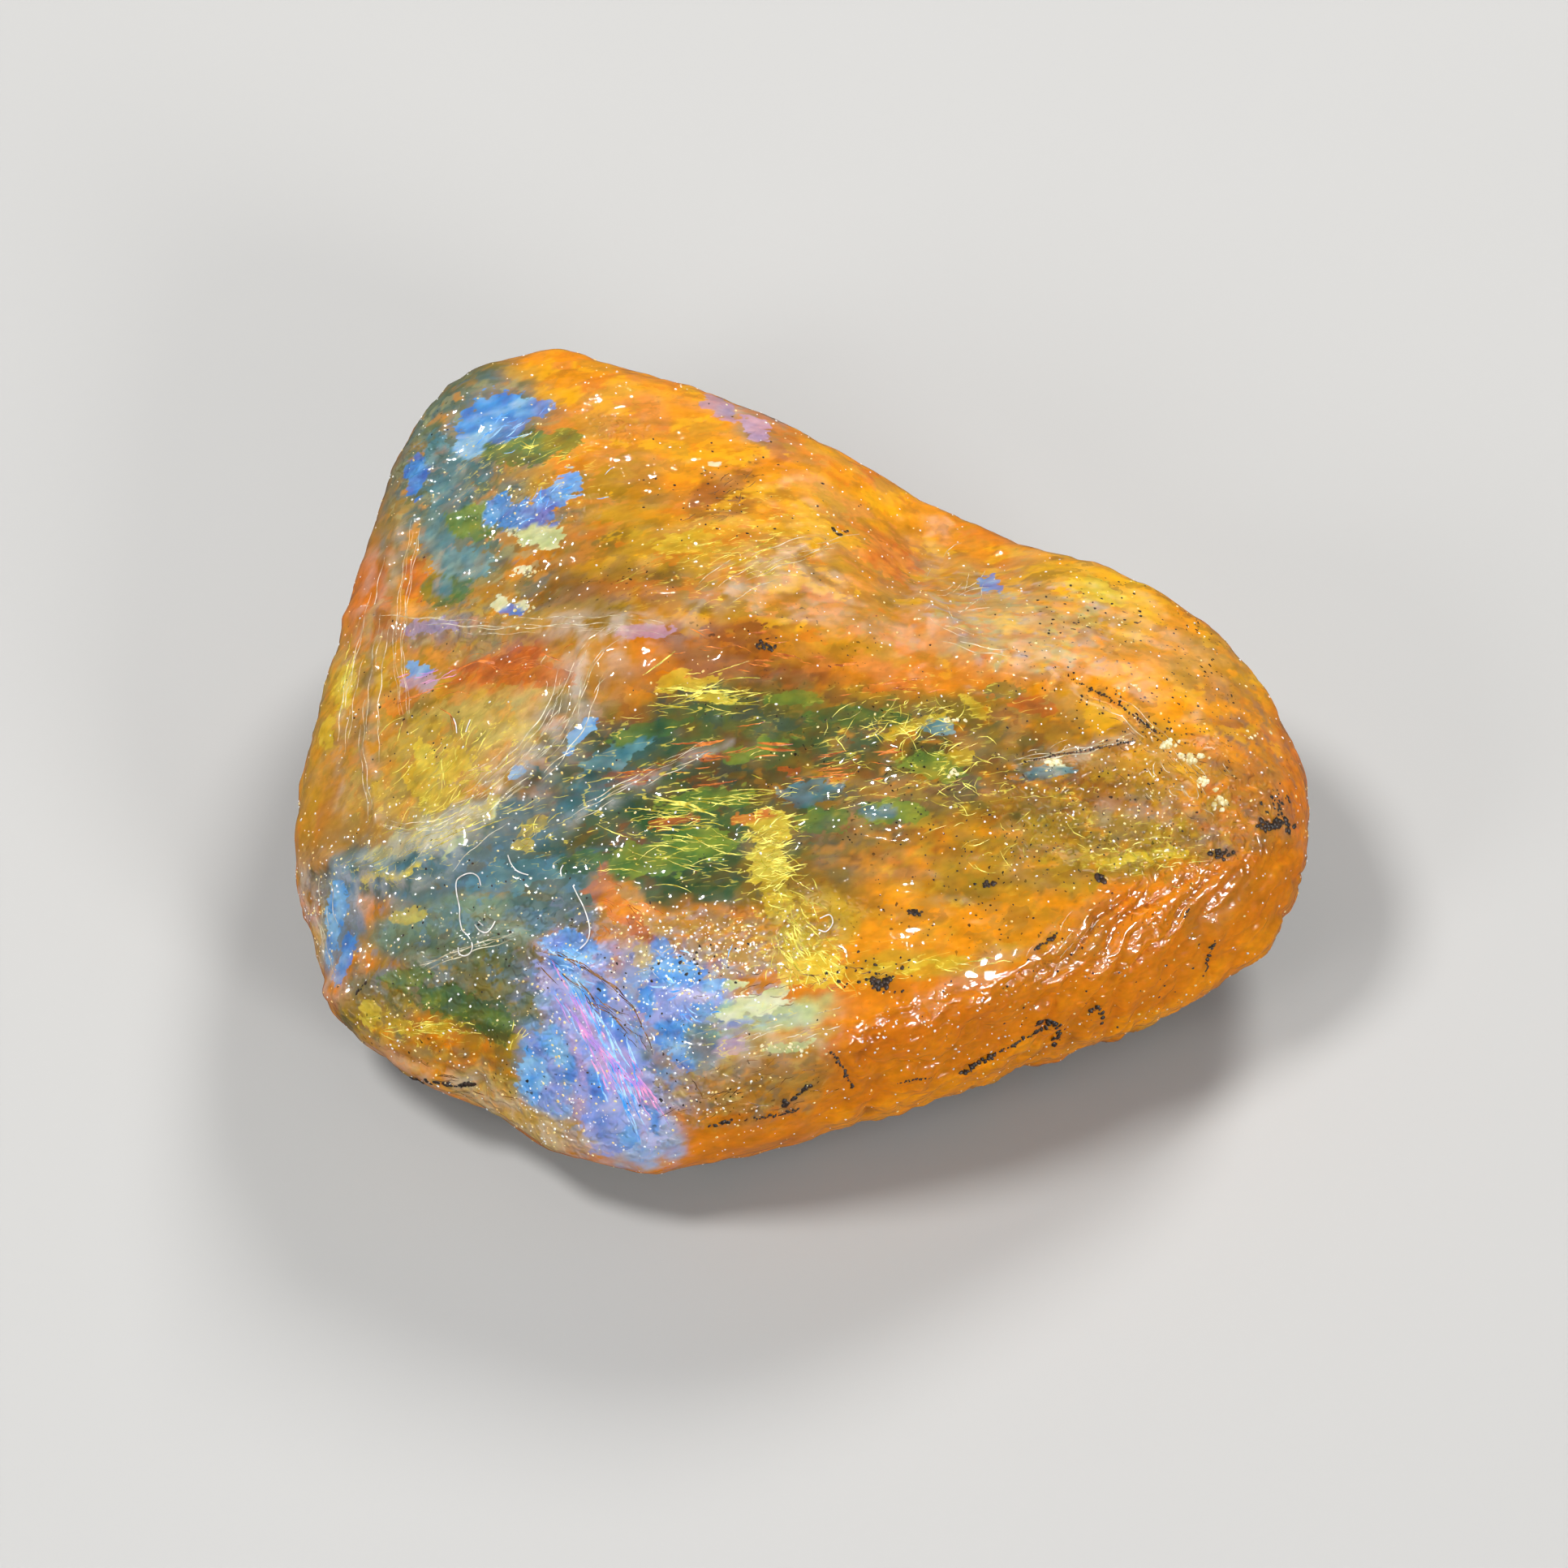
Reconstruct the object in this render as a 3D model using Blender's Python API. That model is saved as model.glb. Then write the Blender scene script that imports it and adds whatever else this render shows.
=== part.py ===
"""A rough opal nodule: one natural stone, lying on its broad worn underside.

Metres, +Z up, the stone's longest side along X, its front towards -Y. The origin is on the
resting face's level, under the middle of the stone's box.
"""

import math

import bmesh
import bpy
from mathutils import Matrix, Vector, noise

MM = 0.001

# Driving dimensions, in millimetres
STONE_LENGTH = 36.0  # along X, the size everything else is measured against
VIEW_TILT = math.radians(50.0)  # how far above the table the stone was measured from
GRAIN = 0.95  # size of the faces that the surface is divided into
WEAR_ROUNDS = 12  # smoothing passes, which round the arrises as wear has
WEAR_LOSS = 0.65  # what the smoothing takes off a corner, added beforehand
LAST_ROUNDS = 3  # smoothing passes after the hollows are pressed in
FOOT_LOSS = 0.35  # how much of the uneven underside is worn flat
LUMP_HEIGHT = 0.22  # gentle unevenness of the whole skin
LUMP_SPACING = 4.5
LUMP_SEED = Vector((3.1, 7.7, 1.9))

# Corners of the outline as seen from the front and above: right and up from the middle of
# the stone, as measured on the tilted picture plane, then height above the table
OUTLINE_CORNERS = (
    (-8.6, 15.5, 9.6),
    (-3.4, 13.9, 10.0),
    (1.8, 10.6, 10.2),
    (9.0, 7.0, 9.9),
    (12.9, 6.3, 9.0),
    (16.3, 3.6, 8.0),
    (17.8, 0.2, 6.6),
    (18.2, -3.3, 4.9),
    (17.0, -7.1, 3.4),
    (13.7, -9.1, 2.7),
    (8.3, -10.7, 2.5),
    (2.1, -12.7, 2.5),
    (-2.2, -12.9, 2.4),
    (-5.3, -14.8, 2.6),
    (-8.6, -14.2, 2.8),
    (-13.8, -11.4, 3.0),
    (-16.6, -9.4, 3.7),
    (-18.2, -3.7, 5.2),
    (-17.4, 0.4, 6.4),
    (-15.6, 6.0, 7.7),
    (-14.4, 12.0, 8.4),
    (-12.6, 14.8, 9.0),
)

# The crest, and the arris where the top turns down into the front side, measured likewise
TOP_CORNERS = (
    (-5.5, 4.8, 13.4),
    (-9.8, 0.2, 11.8),
    (-13.4, -4.1, 9.2),
    (1.5, 5.3, 12.6),
    (8.0, 3.2, 11.4),
    (14.2, 0.6, 9.6),
    (16.9, -2.8, 8.2),
    (11.2, -4.3, 9.2),
    (6.6, -7.8, 9.0),
    (2.0, -9.2, 8.8),
    (-3.4, -9.4, 8.6),
    (-9.2, -6.8, 8.9),
    (-13.5, -7.4, 7.2),
)

# Hidden back side and the foot: right, back and height, on the table itself
BACK_CORNERS = (
    (-11.0, 11.0, 4.6),
    (-3.0, 10.0, 4.2),
    (5.5, 5.6, 4.0),
    (12.5, 1.0, 3.8),
    (16.8, -4.6, 3.0),
    (-15.8, 3.5, 3.6),
    (-17.0, -5.0, 3.0),
)
FOOT_CORNERS = (
    (-9.5, 7.0, 0.0),
    (-1.0, 6.4, 0.0),
    (7.5, 1.2, 0.0),
    (12.8, -4.6, 0.0),
    (11.6, -11.0, 0.0),
    (3.5, -14.6, 0.0),
    (-6.5, -16.4, 0.0),
    (-12.8, -12.4, 0.0),
    (-14.0, -2.5, 0.0),
)

# Hollows and swellings in the visible side, as seen on the picture plane: right, up, half
# length, half width, turn in degrees from level, and depth (a swelling is below zero)
HOLLOWS = (
    (5.6, 8.9, 3.4, 3.2, 60.0, 1.9),  # the waist in the far edge
    (-0.5, -1.3, 8.0, 3.4, 4.0, 1.0),  # the long basin across the top
    (-11.6, -13.6, 2.4, 1.8, 65.0, 0.9),  # the nick in the near left edge
    (-13.2, -5.2, 4.2, 1.3, 15.0, 0.6),  # the trough left of the near ridge
    (-6.6, -9.8, 3.0, 1.6, -60.0, 0.4),  # the face above the near tip
    (-8.0, 8.4, 4.2, 2.2, 20.0, 0.5),  # the dip in the far slope
    (-9.0, 0.8, 6.5, 1.2, 50.0, -0.4),  # the crest down the left
    (12.0, 2.0, 4.5, 1.6, -32.0, -0.5),  # the shoulder along the right
    (9.4, -8.0, 2.4, 1.2, 55.0, 0.4),  # a flute in the front side
)


def from_picture(right, up, height):
    """The point at this height above the table that shows at (right, up)."""
    back = (up - height * math.cos(VIEW_TILT)) / math.sin(VIEW_TILT)
    return Vector((right, back, height))


def picture_axes():
    """Unit vectors right, up and towards the eye, for the tilted picture plane."""
    up = Vector((0.0, math.sin(VIEW_TILT), math.cos(VIEW_TILT)))
    towards = Vector((0.0, -math.cos(VIEW_TILT), math.sin(VIEW_TILT)))
    return Vector((1.0, 0.0, 0.0)), up, towards


def broken_block():
    """The angular block, before wear: the convex shape around every corner."""
    corners = [from_picture(*c) for c in OUTLINE_CORNERS + TOP_CORNERS]
    corners += [Vector(c) for c in BACK_CORNERS]
    middle = sum(corners, Vector()) / len(corners)
    corners = [c + (c - middle).normalized() * WEAR_LOSS for c in corners]
    corners += [Vector(c) for c in FOOT_CORNERS]
    block = bmesh.new()
    for corner in corners:
        block.verts.new(corner)
    hull = bmesh.ops.convex_hull(block, input=block.verts)
    loose = [v for v in hull["geom_interior"] if isinstance(v, bmesh.types.BMVert)]
    bmesh.ops.delete(block, geom=loose, context="VERTS")
    return block


def worn(block):
    """The block divided evenly into small faces, with its arrises rounded."""
    mesh = bpy.data.meshes.new("block")
    block.to_mesh(mesh)
    block.free()
    helper = bpy.data.objects.new("block", mesh)
    bpy.context.scene.collection.objects.link(helper)
    remesh = helper.modifiers.new("even faces", "REMESH")
    remesh.mode = "VOXEL"
    remesh.voxel_size = GRAIN
    smooth = helper.modifiers.new("wear", "SMOOTH")
    smooth.factor = 0.5
    smooth.iterations = WEAR_ROUNDS
    graph = bpy.context.evaluated_depsgraph_get()
    stone = bmesh.new()
    stone.from_object(helper, graph)
    bpy.data.objects.remove(helper)
    bpy.data.meshes.remove(mesh)
    return stone


def hollow_depth(point, hollow):
    """How deep one hollow is at a point, from where the point shows on the picture plane."""
    right, up, half_length, half_width, turn, depth = hollow
    across, upwards, _ = picture_axes()
    x = point.dot(across) - right
    y = point.dot(upwards) - up
    cos, sin = math.cos(math.radians(turn)), math.sin(math.radians(turn))
    along = (x * cos + y * sin) / half_length
    aside = (y * cos - x * sin) / half_width
    return depth * math.exp(-(along * along + aside * aside))


def carve(stone):
    """Presses the hollows in, and adds the uneven skin."""
    towards = picture_axes()[2]
    stone.normal_update()
    moves = []
    for vert in stone.verts:
        seen = min(1.0, max(0.0, 0.8 + 1.6 * vert.normal.dot(towards)))
        depth = seen * sum(hollow_depth(vert.co, hollow) for hollow in HOLLOWS)
        lump = noise.noise(vert.co / LUMP_SPACING + LUMP_SEED) * LUMP_HEIGHT
        moves.append(vert.normal * (lump - depth))
    for vert, move in zip(stone.verts, moves):
        vert.co += move
    for _ in range(LAST_ROUNDS):
        bmesh.ops.smooth_vert(
            stone,
            verts=stone.verts,
            factor=0.5,
            use_axis_x=True,
            use_axis_y=True,
            use_axis_z=True,
        )


def set_down(stone):
    """Flattens the foot at the table, and puts the origin under the middle of the box."""
    for vert in stone.verts:
        vert.co.z = max(vert.co.z - FOOT_LOSS, 0.0)
    lows = [min(v.co[axis] for v in stone.verts) for axis in range(2)]
    highs = [max(v.co[axis] for v in stone.verts) for axis in range(2)]
    middle = Vector(((lows[0] + highs[0]) / 2, (lows[1] + highs[1]) / 2, 0.0))
    bmesh.ops.translate(stone, verts=stone.verts, vec=-middle)
    scale = STONE_LENGTH / (highs[0] - lows[0])
    bmesh.ops.transform(stone, verts=stone.verts, matrix=Matrix.Scale(scale * MM, 4))


def honey_opal():
    """The body colour: translucent honey orange with a wet polish."""
    material = bpy.data.materials.new("honey_opal")
    material.use_nodes = True
    shader = material.node_tree.nodes["Principled BSDF"]
    shader.inputs["Base Color"].default_value = (0.78, 0.27, 0.03, 1.0)
    shader.inputs["Roughness"].default_value = 0.2
    shader.inputs["Metallic"].default_value = 0.0
    return material


def make_stone():
    stone = worn(broken_block())
    carve(stone)
    set_down(stone)
    mesh = bpy.data.meshes.new("stone")
    stone.to_mesh(mesh)
    stone.free()
    mesh.shade_smooth()
    mesh.materials.append(honey_opal())
    obj = bpy.data.objects.new("stone", mesh)
    bpy.context.scene.collection.objects.link(obj)
    return obj


def main():
    for obj in list(bpy.data.objects):
        bpy.data.objects.remove(obj)
    make_stone()


main()
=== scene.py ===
# %% [markdown]
# A rough precious opal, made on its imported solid. The real stone is a walnut-sized pebble of
# honey-orange opal, so its look comes from three things at once: a wet, wrinkled skin, a body
# that lets light in and glows, and thin films inside that flash blue, green, gold and red.
# The solid gives the size and the place. Everything finer than a millimetre is made here.

# %% Load the solid
import math
import random

import bmesh
import bpy
import numpy as np
from mathutils import Matrix, Vector
from mathutils.bvhtree import BVHTree


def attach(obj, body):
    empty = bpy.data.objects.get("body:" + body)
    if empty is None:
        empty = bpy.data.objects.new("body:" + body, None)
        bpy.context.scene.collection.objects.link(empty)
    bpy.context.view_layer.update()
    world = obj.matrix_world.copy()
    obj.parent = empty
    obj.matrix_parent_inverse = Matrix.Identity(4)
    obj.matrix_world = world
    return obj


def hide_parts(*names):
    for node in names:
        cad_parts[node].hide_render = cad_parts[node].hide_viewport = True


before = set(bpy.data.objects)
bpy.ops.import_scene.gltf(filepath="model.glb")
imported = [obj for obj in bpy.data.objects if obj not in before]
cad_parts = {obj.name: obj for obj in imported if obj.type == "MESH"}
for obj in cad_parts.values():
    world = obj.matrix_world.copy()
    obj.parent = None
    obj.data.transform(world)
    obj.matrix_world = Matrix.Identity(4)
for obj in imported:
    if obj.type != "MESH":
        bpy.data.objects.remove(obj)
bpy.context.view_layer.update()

MM = 0.001

# %% [markdown]
# The camera stands where the photographer's stood: in front, looking down at 50 degrees through
# a long lens. Its place is worked out, because the same sums are used the other way round, to
# find which point of the stone shows at a given pixel of the photograph. Marks on the stone can
# then be written down where they were seen and laid on the real surface.

# %% Camera
PHOTO_PIXELS = 1932
PIXEL = 0.0288  # millimetres across one pixel, at the stone
VIEW_TILT = math.radians(50.0)
VIEW_DISTANCE = 300.0
AIMED_AT = np.array((-0.083, -1.615, 7.0))  # the point of the stone behind AIMED_PIXEL
AIMED_PIXEL = (985.0, 936.0)
SENSOR = 36.0
MIDDLE = PHOTO_PIXELS / 2

ACROSS = np.array((1.0, 0.0, 0.0))
UPWARD = np.array((0.0, math.sin(VIEW_TILT), math.cos(VIEW_TILT)))
TOWARDS = np.array((0.0, -math.cos(VIEW_TILT), math.sin(VIEW_TILT)))
SIGHT = (
    AIMED_AT
    + ACROSS * (MIDDLE - AIMED_PIXEL[0]) * PIXEL
    - UPWARD * (MIDDLE - AIMED_PIXEL[1]) * PIXEL
)
EYE = SIGHT + TOWARDS * VIEW_DISTANCE


def to_photo(points):
    """Pixel right and pixel down of points in mm."""
    offset = points - SIGHT
    grow = VIEW_DISTANCE / (VIEW_DISTANCE - offset @ TOWARDS) / PIXEL
    return MIDDLE + offset @ ACROSS * grow, MIDDLE - offset @ UPWARD * grow


def photo_ray(x, y):
    """Where the sight line of a pixel starts, and its direction."""
    seen = SIGHT + ACROSS * (x - MIDDLE) * PIXEL - UPWARD * (y - MIDDLE) * PIXEL
    return Vector(EYE), Vector(seen - EYE).normalized()


def add_object(name, data):
    """A new object in the scene's own collection."""
    made = bpy.data.objects.new(name, data)
    bpy.context.scene.collection.objects.link(made)
    return made


camera_data = bpy.data.cameras.new("camera")
camera_data.sensor_width = SENSOR
camera_data.lens = SENSOR * VIEW_DISTANCE / (PHOTO_PIXELS * PIXEL)
camera_data.clip_start = 0.01
camera_data.clip_end = 10.0
camera = add_object("camera", camera_data)
camera.location = Vector(EYE) * MM
camera.rotation_euler = (math.pi / 2 - VIEW_TILT, 0.0, 0.0)
bpy.context.scene.camera = camera
print(f"lens {camera_data.lens:.1f} mm at {VIEW_DISTANCE:.0f} mm")

# %% [markdown]
# The solid's faces are nearly a millimetre wide, far too coarse for wrinkles. A voxel remesh
# gives an even skin of small faces with no thought for how the old ones ran, and smoothing it
# takes out the old facets. The result is kept as plain arrays, because every later step moves
# points by sums over the whole skin.

# %% Fine skin
SKIN_GRAIN = 0.182  # mm
SKIN_SMOOTHING = 31  # rounds
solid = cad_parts["stone"]


def fine_skin(source):
    """A copy of the solid's mesh in mm, made of small even faces."""
    mesh = source.data.copy()
    mesh.transform(Matrix.Scale(1 / MM, 4))
    welded = bmesh.new()
    welded.from_mesh(mesh)
    bmesh.ops.remove_doubles(welded, verts=welded.verts, dist=0.001)
    welded.to_mesh(mesh)
    welded.free()
    helper = add_object("helper", mesh)
    remesh = helper.modifiers.new("small faces", "REMESH")
    remesh.mode = "VOXEL"
    remesh.voxel_size = SKIN_GRAIN
    smooth = helper.modifiers.new("smooth", "SMOOTH")
    smooth.factor = 0.5
    smooth.iterations = SKIN_SMOOTHING
    graph = bpy.context.evaluated_depsgraph_get()
    skin = bpy.data.meshes.new_from_object(helper.evaluated_get(graph))
    bpy.data.objects.remove(helper)
    bpy.data.meshes.remove(mesh)
    return skin


def points_of(mesh):
    flat = np.empty(len(mesh.vertices) * 3, np.float32)
    mesh.vertices.foreach_get("co", flat)
    return flat.reshape(-1, 3).astype(float)


def normals_of(mesh):
    flat = np.empty(len(mesh.vertices) * 3, np.float32)
    mesh.vertex_normals.foreach_get("vector", flat)
    return flat.reshape(-1, 3).astype(float)


skin = fine_skin(solid)
points = points_of(skin)
normals = normals_of(skin)
print(f"skin of {sum(len(face.vertices) - 2 for face in skin.polygons)} triangles")

# %% [markdown]
# Shape and colour both need numbers that wander smoothly over the stone. Blender's own noise is
# called once for each point, which is slow for a hundred thousand of them, so the same kind of
# noise is written here for a whole array at once: every cell of space gets a random slope, and
# a point takes a smooth mix of the slopes at its cell's eight corners.

# %% Tools for wandering values
CORNERS = [(i, j, k) for i in (0, 1) for j in (0, 1) for k in (0, 1)]
PRIMES = (73856093, 19349663, 83492791)
MIXERS = (2246822519, 3266489917)
NOISE_GAIN = 1.35  # brings the usual height of the noise near 0.3


def wander(at, size, seed, stretch=(1, 1, 1)):
    """A smooth random value, about -1 to 1, with features of this size."""
    scaled = (at / (size * np.asarray(stretch)) + seed * 7.31).astype(np.float32).T
    cell = np.floor(scaled)
    part = scaled - cell
    ease = part**3 * (part * (part * 6 - 15) + 10)
    number = cell.astype(np.int32).view(np.uint32)
    primes = [np.uint32(prime) for prime in PRIMES]
    keys = [(n * prime, (n + np.uint32(1)) * prime) for n, prime in zip(number, primes)]
    offset, weight = (part, part - 1), (1 - ease, ease)
    total = np.zeros(len(at), np.float32)
    for i, j, k in CORNERS:
        drawn = keys[0][i] ^ keys[1][j] ^ keys[2][k] ^ np.uint32(seed * 40503)
        for mixer in MIXERS:
            drawn = (drawn ^ (drawn >> np.uint32(15))) * np.uint32(mixer)
        drawn ^= drawn >> np.uint32(16)
        slope = np.zeros(len(at), np.float32)
        for axis, corner in enumerate((i, j, k)):
            ten_bits = drawn >> np.uint32(10 * axis) & np.uint32(1023)
            random_part = ten_bits / np.float32(511.5) - 1
            slope += random_part * offset[corner][axis]
        total += weight[i][0] * weight[j][1] * weight[k][2] * slope
    return total * NOISE_GAIN


def cloudy(at, size, seed, layers=3, stretch=(1, 1, 1)):
    """Wandering values with finer and finer detail on top."""
    return sum(wander(at, size / 2**k, seed + 31 * k, stretch) / 2**k for k in range(layers))


def step(value, low, high):
    t = np.clip((value - low) / (high - low), 0.0, 1.0)
    return t * t * (3.0 - 2.0 * t)


def from_line(x, y, line):
    """Distance in pixels of each point (x, y) from a line through pixels."""
    best = np.full(len(x), 1e9)
    for (ax, ay), (bx, by) in zip(line, line[1:]):
        dx, dy = bx - ax, by - ay
        t = np.clip(((x - ax) * dx + (y - ay) * dy) / (dx * dx + dy * dy), 0.0, 1.0)
        best = np.minimum(best, np.hypot(x - ax - t * dx, y - ay - t * dy))
    return best


def in_patch(x, y, patch):
    """How far out each point is in an oval patch: 0 at its middle, 1 on its edge."""
    centre_x, centre_y, half_long, half_wide, turn = patch
    cos, sin = math.cos(math.radians(turn)), math.sin(math.radians(turn))
    along = (x - centre_x) * cos - (y - centre_y) * sin
    aside = (x - centre_x) * sin + (y - centre_y) * cos
    return np.hypot(along / half_long, aside / half_wide)


photo_x, photo_y = to_photo(points)
facing = normals @ TOWARDS
seen = step(facing, -0.1, 0.14)  # 1 on the skin that the photograph shows
print("usual height of the noise", wander(points, 1.0, 1).std().round(3))

# %% [markdown]
# The skin of the real stone is worn but not flat. The top has soft lumps, low crests and one
# sharp ledge, while the cut-off front side is covered in flowing folds like wet leather. The
# folds are made as creases: a stretched noise has long wandering lines where it is zero, and
# pressing the skin in along those lines leaves rounded pillows between. They run level at the
# left and climb to the right, so their direction is bent along the way.

# %% Relief: lumps, crests and ledges
RIM = (
    (980, 1330), (1043, 1252), (1106, 1230), (1216, 1205), (1283, 1171), (1329, 1128),
    (1359, 1083), (1443, 1083), (1481, 1070), (1527, 1049), (1607, 1041), (1640, 1041),
)
RAISED_LINES = (
    # line of pixels, half width in pixels, height in mm
    (((440, 760), (600, 772), (677, 770), (760, 768),
        (837, 779), (900, 711), (1000, 674)), 13, 0.2),
    (((780, 772), (720, 800), (700, 880), (645, 950),
        (560, 1020), (505, 1080), (400, 1062)), 14, 0.28),
    (((512, 1190), (580, 1165), (635, 1148), (664, 1165)), 9, 0.28),
    (((664, 1165), (719, 1188), (761, 1218), (794, 1260), (807, 1304)), 9, 0.24),
    (((400, 1225), (440, 1235), (479, 1190), (520, 1180)), 12, 0.2),
    (((1190, 700), (1130, 745), (1190, 790), (1260, 830), (1330, 842)), 14, 0.22),
    (((1030, 1010), (1000, 1060), (985, 1120), (1000, 1200)), 16, 0.12),
    (((490, 640), (470, 780), (455, 920), (470, 1030)), 6, 0.12),
    (((690, 1240), (720, 1300), (760, 1390)), 10, 0.15),
)
SUNK_LINES = (
    (((1320, 838), (1400, 882), (1440, 922), (1480, 960), (1502, 1005)), 9, 0.3),
    (((1260, 935), (1330, 925), (1400, 925), (1420, 915)), 9, 0.22),
    (((700, 1170), (770, 1110), (880, 1130), (1000, 1160)), 12, 0.15),
    (((590, 1290), (585, 1345)), 16, 0.3),
    (((1026, 1296), (1040, 1320), (1052, 1340)), 6, 0.2),
    (((480, 1300), (540, 1322), (590, 1340)), 8, 0.15),
    (((640, 480), (560, 560), (520, 660)), 16, 0.12),
    (((1485, 1150), (1491, 1200)), 5, 0.16),
)
LUMPS = ((3.4, 0.17), (1.5, 0.09), (0.75, 0.05), (0.4, 0.026))  # size and height in mm
LINE_WAVER, LINE_WAVER_SIZE = 9, 1.1  # how far in pixels, and over how many mm
relief = sum(height * wander(points, size, 1 + i) for i, (size, height) in enumerate(LUMPS))
wavy_x = photo_x + LINE_WAVER * wander(points, LINE_WAVER_SIZE, 14)
wavy_y = photo_y + LINE_WAVER * wander(points, LINE_WAVER_SIZE, 15)


def near_line(line, half_width):
    """1 on a line through pixels, fading out to both sides."""
    return np.exp(-((from_line(wavy_x, wavy_y, line) / half_width) ** 2))


for line, half_width, height in RAISED_LINES:
    relief += seen * height * near_line(line, half_width)
for line, half_width, depth in SUNK_LINES:
    relief -= seen * depth * near_line(line, half_width)
print(f"lumps from {relief.min():.2f} to {relief.max():.2f} mm")

# %% Relief: folds of the front side
# pixel right, and how steeply the folds climb there in degrees
FOLD_TURNS = ((900, 4), (1060, 8), (1180, 22), (1280, 42), (1400, 48), (1520, 50), (1640, 40))
FOLD_SIZE = 0.9
FOLD_LENGTH = 3.2  # times as long as wide
FOLD_DEPTH = 0.28
SMALL_FOLDS = 0.45  # depth of the small folds beside that of the large ones
CRUMPLE = 0.06
CREASE_WIDTH = 0.2
FOLD_MEAN = 0.6  # taken off, so that folds press in as much as they stand out
WORN_END = (1400, 1540)  # pixels right between which the folds are worn down
LEVEL_FOLDS = 0.05  # height of the faint folds on the top
rim_x, rim_y = np.array(RIM, float).T
below_rim = photo_y - np.interp(photo_x, rim_x, rim_y)
front_side = step(below_rim, -6, 14) * step(photo_x, 985, 1060)
any_side = step(0.55 - normals[:, 2], 0.0, 0.35) * step(points[:, 2], 0.1, 1.2)
hidden_side = any_side * (1 - seen)
turn_x, turns = np.array(FOLD_TURNS, float).T
steps_x = np.arange(300, 1700, 10.0)
climb = np.cumsum(np.tan(np.radians(np.interp(steps_x, turn_x, turns)))) * 10.0
crossing = (photo_y + np.interp(photo_x, steps_x, climb)) * PIXEL
fold_at = np.stack((crossing, photo_x * PIXEL / FOLD_LENGTH, points[:, 1] / 4.0), axis=1)
fold_at[:, 0] += 0.8 * wander(points, 2.2, 16) + 0.3 * wander(points, 0.9, 17)
around = np.stack((points[:, 0] / 3.0, points[:, 1] / 3.0, points[:, 2]), axis=1)
around[:, 2] += 0.7 * wander(points, 2.0, 18)


def folds(at, size, seed):
    """0 in a crease, 1 on the round top of a fold."""
    return 1.0 - np.exp(-np.abs(wander(at, size, seed)) / CREASE_WIDTH)


front_folds = FOLD_DEPTH * (folds(fold_at, FOLD_SIZE, 7) - FOLD_MEAN)
front_folds += SMALL_FOLDS * FOLD_DEPTH * (folds(fold_at, FOLD_SIZE * 0.5, 8) - FOLD_MEAN)
front_folds += CRUMPLE * (folds(points, 0.7, 9) - FOLD_MEAN)
worn = step(photo_x, *WORN_END)
front_folds *= 1 - 0.45 * worn
relief += front_side * front_folds
relief += hidden_side * FOLD_DEPTH * (folds(around, FOLD_SIZE, 10) - FOLD_MEAN)
level = np.stack((wavy_x * PIXEL / 3.5, wavy_y * PIXEL, points[:, 2] / 4), axis=1)
relief += (1 - front_side) * seen * LEVEL_FOLDS * (folds(level, 0.8, 11) - 0.5)
resting = step(points[:, 2], 0.0, 0.5)  # 0 where the stone touches the floor
points += normals * (relief * resting)[:, None]
points[:, 2] = np.maximum(points[:, 2], 0.0)
skin.vertices.foreach_set("co", points.astype(np.float32).ravel())
skin.update()
normals = normals_of(skin)
photo_x, photo_y = to_photo(points)
print("stone now", (points.max(0) - points.min(0)).round(2), "mm")

# %% [markdown]
# Colours are named once, as the eye sees them on a screen from 0 to 255, and turned into the
# linear values that the renderer works in.


# %% Palette
def seen_colour(red, green, blue):
    """A colour as seen on a screen, 0 to 255, as linear values."""
    parts = [value / 255.0 for value in (red, green, blue)]
    return tuple(p / 12.92 if p <= 0.04045 else ((p + 0.055) / 1.055) ** 2.4 for p in parts)


SEEN = {
    "bright orange": (255, 160, 12), "amber": (240, 150, 16), "yellow amber": (250, 186, 20),
    "yellow": (240, 200, 28), "gold": (214, 172, 52), "olive gold": (152, 122, 32),
    "olive": (116, 98, 32), "dark olive": (88, 74, 32), "moss": (88, 102, 46),
    "dark green": (50, 82, 44), "teal": (40, 74, 68), "slate teal": (66, 100, 98),
    "slate": (84, 118, 128), "steel blue": (98, 140, 170), "grey green": (110, 124, 96),
    "milky green": (122, 148, 120), "mint": (176, 214, 166), "mint grey": (176, 174, 130),
    "azure": (92, 170, 236), "light azure": (160, 200, 246), "deep blue": (24, 92, 186),
    "pale blue": (160, 198, 226), "lilac": (190, 162, 224), "mauve": (150, 126, 148),
    "lavender grey": (176, 160, 168), "salmon": (230, 140, 74), "red orange": (204, 92, 36),
    "deep orange": (222, 116, 16), "rust brown": (134, 70, 28), "umber": (118, 80, 24),
    "tan": (176, 132, 68), "tan gold": (196, 146, 46), "cream": (232, 220, 178),
    "straw": (206, 180, 116), "pinkish brown": (180, 112, 66), "mushroom": (120, 104, 92),
    "periwinkle": (146, 164, 232), "side amber": (232, 134, 16),
}
PALETTE = {name: seen_colour(*parts) for name, parts in SEEN.items()}
print(f"{len(PALETTE)} colours")
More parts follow.
